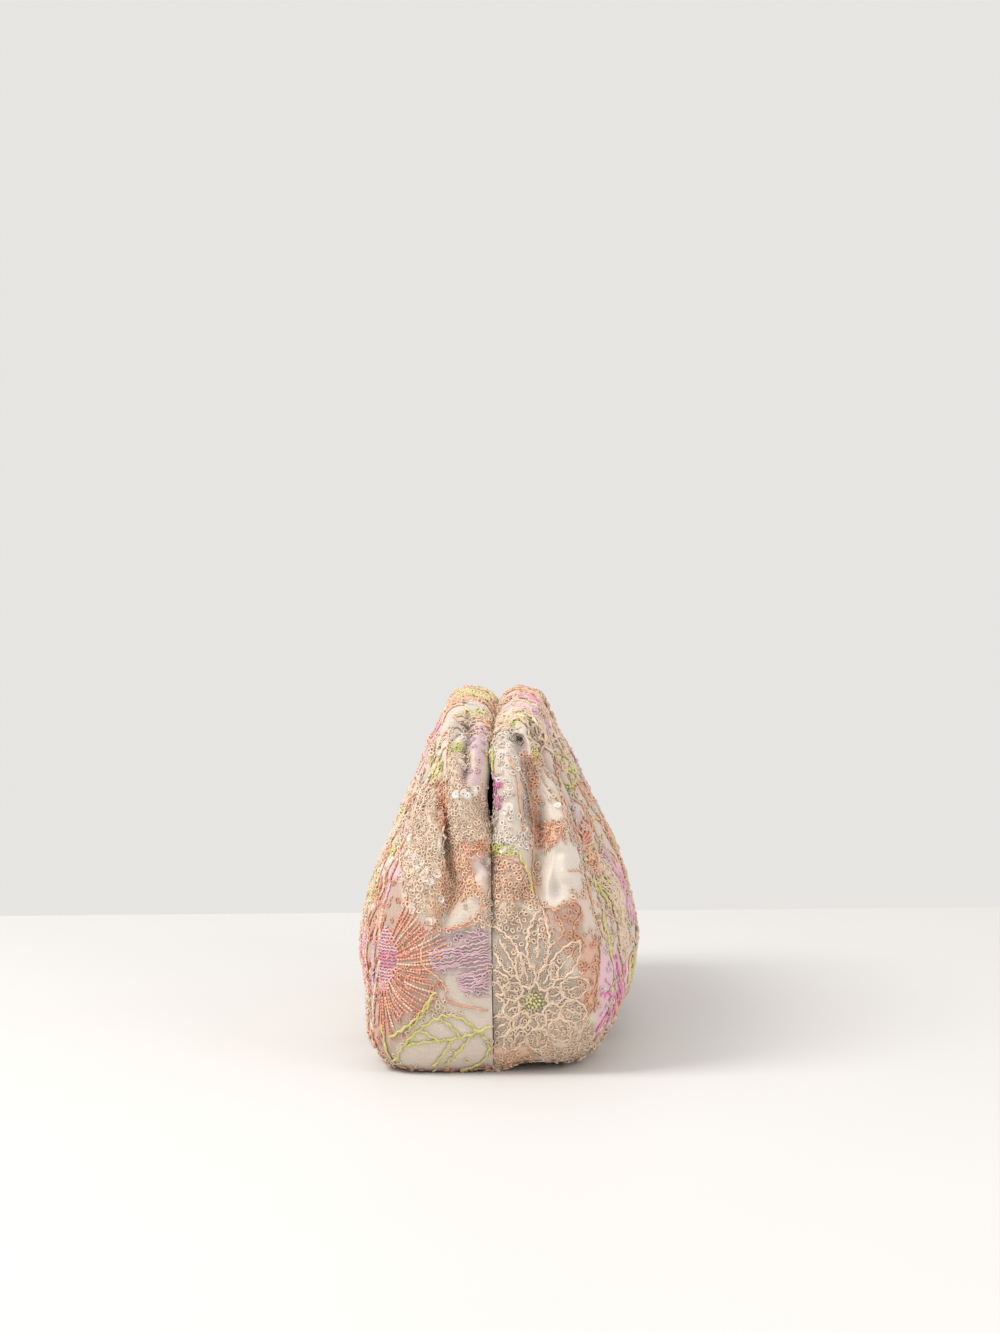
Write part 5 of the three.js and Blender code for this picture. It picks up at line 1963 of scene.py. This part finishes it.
@dataclass(frozen=True)
class ClearSequin:
    """Clear sequins with a faint rainbow."""

    roughness: float = 0.16

    def material(self) -> bpy.types.Material:
        """Makes the material."""
        tree = ShaderTree("clear_sequin")
        drift = tree.noise(420, 1, 0.4)
        hues = tree.node(
            "ShaderNodeValToRGB",
            {"Fac": drift},
            stops=[
                (0.30, (0.90, 0.93, 0.99)),
                (0.45, (0.98, 0.90, 0.96)),
                (0.58, (0.99, 0.97, 0.86)),
                (0.72, (0.88, 0.98, 0.92)),
            ],
        )
        tree.set(
            Base_Color=tree.mix(0.55, tree.tint(), tree.out(hues, "Color")),
            Roughness=self.roughness + drift * 0.1,
            Metallic=0.15,
            Coat_Weight=0.8,
            Coat_Roughness=0.05,
            Alpha=0.7,
        )
        return tree.material


@dataclass(frozen=True)
class BrushedSteel:
    """Drawn steel bar, brushed along its length."""

    roughness: float = 0.32

    def material(self) -> bpy.types.Material:
        """Makes the material."""
        tree = ShaderTree("frame_steel")
        grain = tree.noise(1400, 4, 0.7)
        stain = tree.noise(90, 2, 0.5)
        tree.set(
            Base_Color=tree.mix(stain * 0.4, (0.60, 0.58, 0.55, 1), (0.42, 0.40, 0.37, 1)),
            Roughness=self.roughness + (grain - 0.5) * 0.25,
            Metallic=1.0,
            Normal=tree.bump(grain, 0.0001, 0.3),
        )
        return tree.material


@dataclass
class Finishes:
    """The finishes, made once."""

    satin: bpy.types.Material = field(default_factory=lambda: Satin().material())
    steel: bpy.types.Material = field(default_factory=lambda: BrushedSteel().material())
    sewn: dict[Finish, bpy.types.Material] = field(default_factory=lambda: {
        Finish.THREAD: Thread().material(),
        Finish.BEAD: GlassBead().material(),
        Finish.SEQUIN: ClearSequin().material(),
    })


@dataclass
class Panel:
    """One embroidered half of the clutch."""

    half: Half
    shape: PanelShape
    form: ClutchForm
    view: NearView
    finishes: Finishes
    flat: tuple[float, float]
    loop_pitch: float = 2.3
    grow_beyond: float = 1.35
    wall_step: int = 2
    piece_limit: int = 190_000

    @property
    def name(self) -> str:
        """Name of the CAD node that the panel stands for."""
        return f"{self.half.name.lower()}_panel"

    def build(self) -> list[bpy.types.Object]:
        """Makes the cloth and everything sewn to it.

        Returns:
            The cloth, then the pieces of embroidery.
        """
        cloth = Cloth(self.form, self.half, self.shape, self.view, Gathers(), CREASES)
        seed = 40 + self.half.value
        ground = Ground(cloth, seed)
        hand = Stitchery(cloth, seed)
        hand.keep_off = ground.keep_off = cloth.near_end
        hand.grow = self.grow_beyond
        count = Border().sew(hand, ground)
        hand.keep_off = ground.keep_off = None
        hand.grow = 1.0
        self._near_end(cloth, ground, hand)
        hand.loops(ground, self.loop_pitch, self.grow_beyond)
        wall = self._wall(cloth, ground)
        LOG.info("%s: %d motifs beyond the near end, %d columns by %d rows", self.name, count,
                 cloth.columns, cloth.rows)
        for stitch, sewn in hand.sewn.items():
            LOG.info("%s: %d stitches of kind %s", self.name, sum(map(len, sewn.points)), stitch.value)
        return [wall, *self._embroidery(hand)]

    def _near_end(self, cloth: Cloth, ground: Ground, hand: Stitchery) -> None:
        """Lays out what the near view shows."""
        seen = SeenChart(cloth)
        flat = seen.spread()
        for patch in PATCHES[self.half]:
            mask = inside(flat, np.array(patch.outline))
            ground.paint(mask, patch.ground, patch.loops, patch.share)
        for placed in PLACED[self.half]:
            laid = LaidChart(cloth, cloth.anchor(*placed.at), placed.turn)
            placed.motif.sew(hand, laid if placed.laid else seen, None)
        for line in LINES[self.half]:
            hand.line(seen, np.array(line.points), line.stitch, line.colour, line.size)
        rng = np.random.default_rng(7)
        for spot in SPOTS[self.half]:
            around = rng.normal(0, spot.reach / 2, (spot.count, 2))
            hand.scatter(seen, np.array(spot.at) + around, spot.stitch, spot.colour)

    def _wall(self, cloth: Cloth, ground: Ground) -> bpy.types.Object:
        """The closed cloth wall: a fine outer face and a coarser inner one."""
        step = self.wall_step
        outer = cloth.points
        inner = outer[::step, ::step] - cloth.normals[::step, ::step] * self.form.wall
        side = self.half.value
        inner[..., 1] = np.maximum(inner[..., 1] * side, self.form.panel_gap / 2) * side
        columns, rows = outer.shape[:2]
        in_columns, in_rows = inner.shape[:2]
        out = np.arange(columns * rows).reshape(columns, rows)
        into = columns * rows + np.arange(in_columns * in_rows).reshape(in_columns, in_rows)
        faces = [self._quads(out, False), self._quads(into, True)]
        borders = (
            (out[:, 0], into[:, 0], True), (out[:, -1], into[:, -1], False),
            (out[0], into[0], False), (out[-1], into[-1], True),
        )
        joins = [self._border(o, n, step, turned) for o, n, turned in borders]
        triangles = np.concatenate([*(np.concatenate([f[:, [0, 1, 2]], f[:, [0, 2, 3]]]) for f in faces),
                                    *joins])
        if self.half is Half.BACK:
            triangles = triangles[:, ::-1]
        points = np.concatenate([outer.reshape(-1, 3), inner.reshape(-1, 3)])
        mesh = bpy.data.meshes.new(f"{self.name}_cloth")
        mesh.from_pydata(points * MM, [], triangles, shade_flat=False)
        lining = np.broadcast_to(Colour.SATIN.linear(), (in_columns * in_rows, 3))
        # Painted shade of the folds, multiplied into the cloth's colour.
        tints = np.clip(ground.tint * cloth.shade, 0, 1).reshape(-1, 3)
        paint_points(mesh, np.concatenate([tints, lining]))
        mesh.materials.append(self.finishes.satin)
        piece = place_piece(f"{self.name}_cloth", mesh)
        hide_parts(self.name)
        return piece

    @staticmethod
    def _quads(index: np.ndarray, turned: bool) -> np.ndarray:
        """Quads over a grid of point numbers."""
        corners = [index[:-1, :-1], index[1:, :-1], index[1:, 1:], index[:-1, 1:]]
        quads = np.stack([corner.ravel() for corner in corners], axis=-1)
        return quads[:, ::-1] if turned else quads

    @staticmethod
    def _border(outer: np.ndarray, inner: np.ndarray, step: int, turned: bool) -> np.ndarray:
        """Triangles that close a fine border against a coarse one."""
        found = []
        for k in range(len(inner) - 1):
            for m in range(step * k, step * (k + 1)):
                found.append((outer[m], inner[k], outer[m + 1]))
            found.append((outer[step * (k + 1)], inner[k], inner[k + 1]))
        triangles = np.array(found)
        return triangles[:, ::-1] if turned else triangles

    def _embroidery(self, hand: Stitchery) -> list[bpy.types.Object]:
        """The pieces of embroidery, one for each finish and stretch."""
        names = {Finish.THREAD: "thread_work", Finish.BEAD: "bead_work", Finish.SEQUIN: "sequins"}
        pieces = []
        for finish, part in names.items():
            for number, mesh in enumerate(hand.meshes(finish, self.piece_limit), 1):
                mesh.materials.append(self.finishes.sewn[finish])
                name = f"{self.half.name.lower()}_{part}_{number}"
                pieces.append(place_piece(name, mesh))
        return pieces


def place_piece(name: str, mesh: bpy.types.Mesh) -> bpy.types.Object:
    """Adds a mesh to the scene as a piece of the clutch."""
    piece = bpy.data.objects.new(name, mesh)
    bpy.context.scene.collection.objects.link(piece)
    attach(piece, "root")
    return piece


@dataclass
class Studio:
    """Pale floor, soft light and the camera at the near end."""

    floor_back: float = 0.36
    floor_front: float = 1.15
    floor_side: float = 0.85
    floor_colour: tuple[float, float, float] = (0.74, 0.73, 0.72)
    air_colour: tuple[float, float, float] = (0.80, 0.785, 0.765)
    key_power: float = 20.0

    def build(self, view: NearView) -> None:
        """Makes the camera, the floor and the lights."""
        self._camera(view)
        self._floor()
        self._air()
        self._light("key", (0.45, -1.0, 1.3), 0.8, self.key_power, (1.0, 0.98, 0.95))
        self._light("fill", (1.1, 1.0, 0.7), 0.8, self.key_power * 0.25, (1.0, 0.96, 0.94))

    @staticmethod
    def _camera(view: NearView) -> None:
        """Makes the camera."""
        data = bpy.data.cameras.new("camera")
        data.sensor_fit = "VERTICAL"
        data.sensor_height = 36
        data.lens = view.focal / view.frame_size[1] * 36
        camera = bpy.data.objects.new("camera", data)
        at, turn = view.place()
        camera.location = at
        camera.rotation_mode = "QUATERNION"
        camera.rotation_quaternion = turn
        bpy.context.scene.collection.objects.link(camera)
        bpy.context.scene.camera = camera

    def _floor(self) -> None:
        """Makes the floor, with rounded corners."""
        centre = (self.floor_front - self.floor_back) / 2
        half = ((self.floor_front + self.floor_back) / 2, self.floor_side)
        corner = 0.05
        points = []
        for k in range(4):
            sign = ((1, 1), (-1, 1), (-1, -1), (1, -1))[k]
            for s in range(9):
                angle = (k + s / 8) * math.pi / 2
                x = centre + sign[0] * (half[0] - corner) + corner * math.cos(angle)
                y = sign[1] * (half[1] - corner) + corner * math.sin(angle)
                points.append((x, y, 0.0))
        mesh = bpy.data.meshes.new("floor")
        mesh.from_pydata(points, [], [tuple(range(len(points)))])
        tree = ShaderTree("pale_floor")
        cloud = tree.noise(6, 2, 0.5)
        low = tuple(0.97 * c for c in self.floor_colour)
        tree.set(Base_Color=tree.mix(cloud, (*low, 1), (*self.floor_colour, 1)), Roughness=0.55)
        mesh.materials.append(tree.material)
        floor = bpy.data.objects.new("floor", mesh)
        bpy.context.scene.collection.objects.link(floor)

    def _air(self) -> None:
        """Makes the even light all round."""
        world = bpy.data.worlds.new("air")
        world.use_nodes = True
        background = world.node_tree.nodes["Background"]
        background.inputs["Color"].default_value = (*self.air_colour, 1)
        background.inputs["Strength"].default_value = 1.0
        bpy.context.scene.world = world
        bpy.context.scene.view_settings.view_transform = "Standard"

    @staticmethod
    def _light(name: str, at: tuple[float, float, float], size: float, power: float,
               colour: tuple[float, float, float]) -> None:
        """Makes one soft light that faces the clutch."""
        data = bpy.data.lights.new(name, "AREA")
        data.size = size
        data.energy = power
        data.color = colour
        light = bpy.data.objects.new(name, data)
        light.location = at
        light.rotation_mode = "QUATERNION"
        light.rotation_quaternion = (Vector((0, 0, 0.07)) - Vector(at)).to_track_quat("-Z", "Y")
        bpy.context.scene.collection.objects.link(light)


def main() -> None:
    """Builds the studio and the clutch, and reports each piece."""
    logging.basicConfig(level=logging.INFO, format="%(name)s: %(message)s")
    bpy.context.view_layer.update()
    view = NearView()
    Studio().build(view)
    finishes = Finishes()
    form = ClutchForm()
    total = 0
    for half, shape in ((Half.FRONT, FRONT_SHAPE), (Half.BACK, BACK_SHAPE)):
        for piece in Panel(half, shape, form, view, finishes, (0.34, 0.20)).build():
            triangles = sum(len(face.vertices) - 2 for face in piece.data.polygons)
            total += triangles
            LOG.info("%s: %d triangles", piece.name, triangles)
    LOG.info("in all: %d triangles", total)
    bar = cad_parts["frame_bar"]
    bar.data.materials.clear()
    bar.data.materials.append(finishes.steel)


if __name__ == "__main__":
    main()
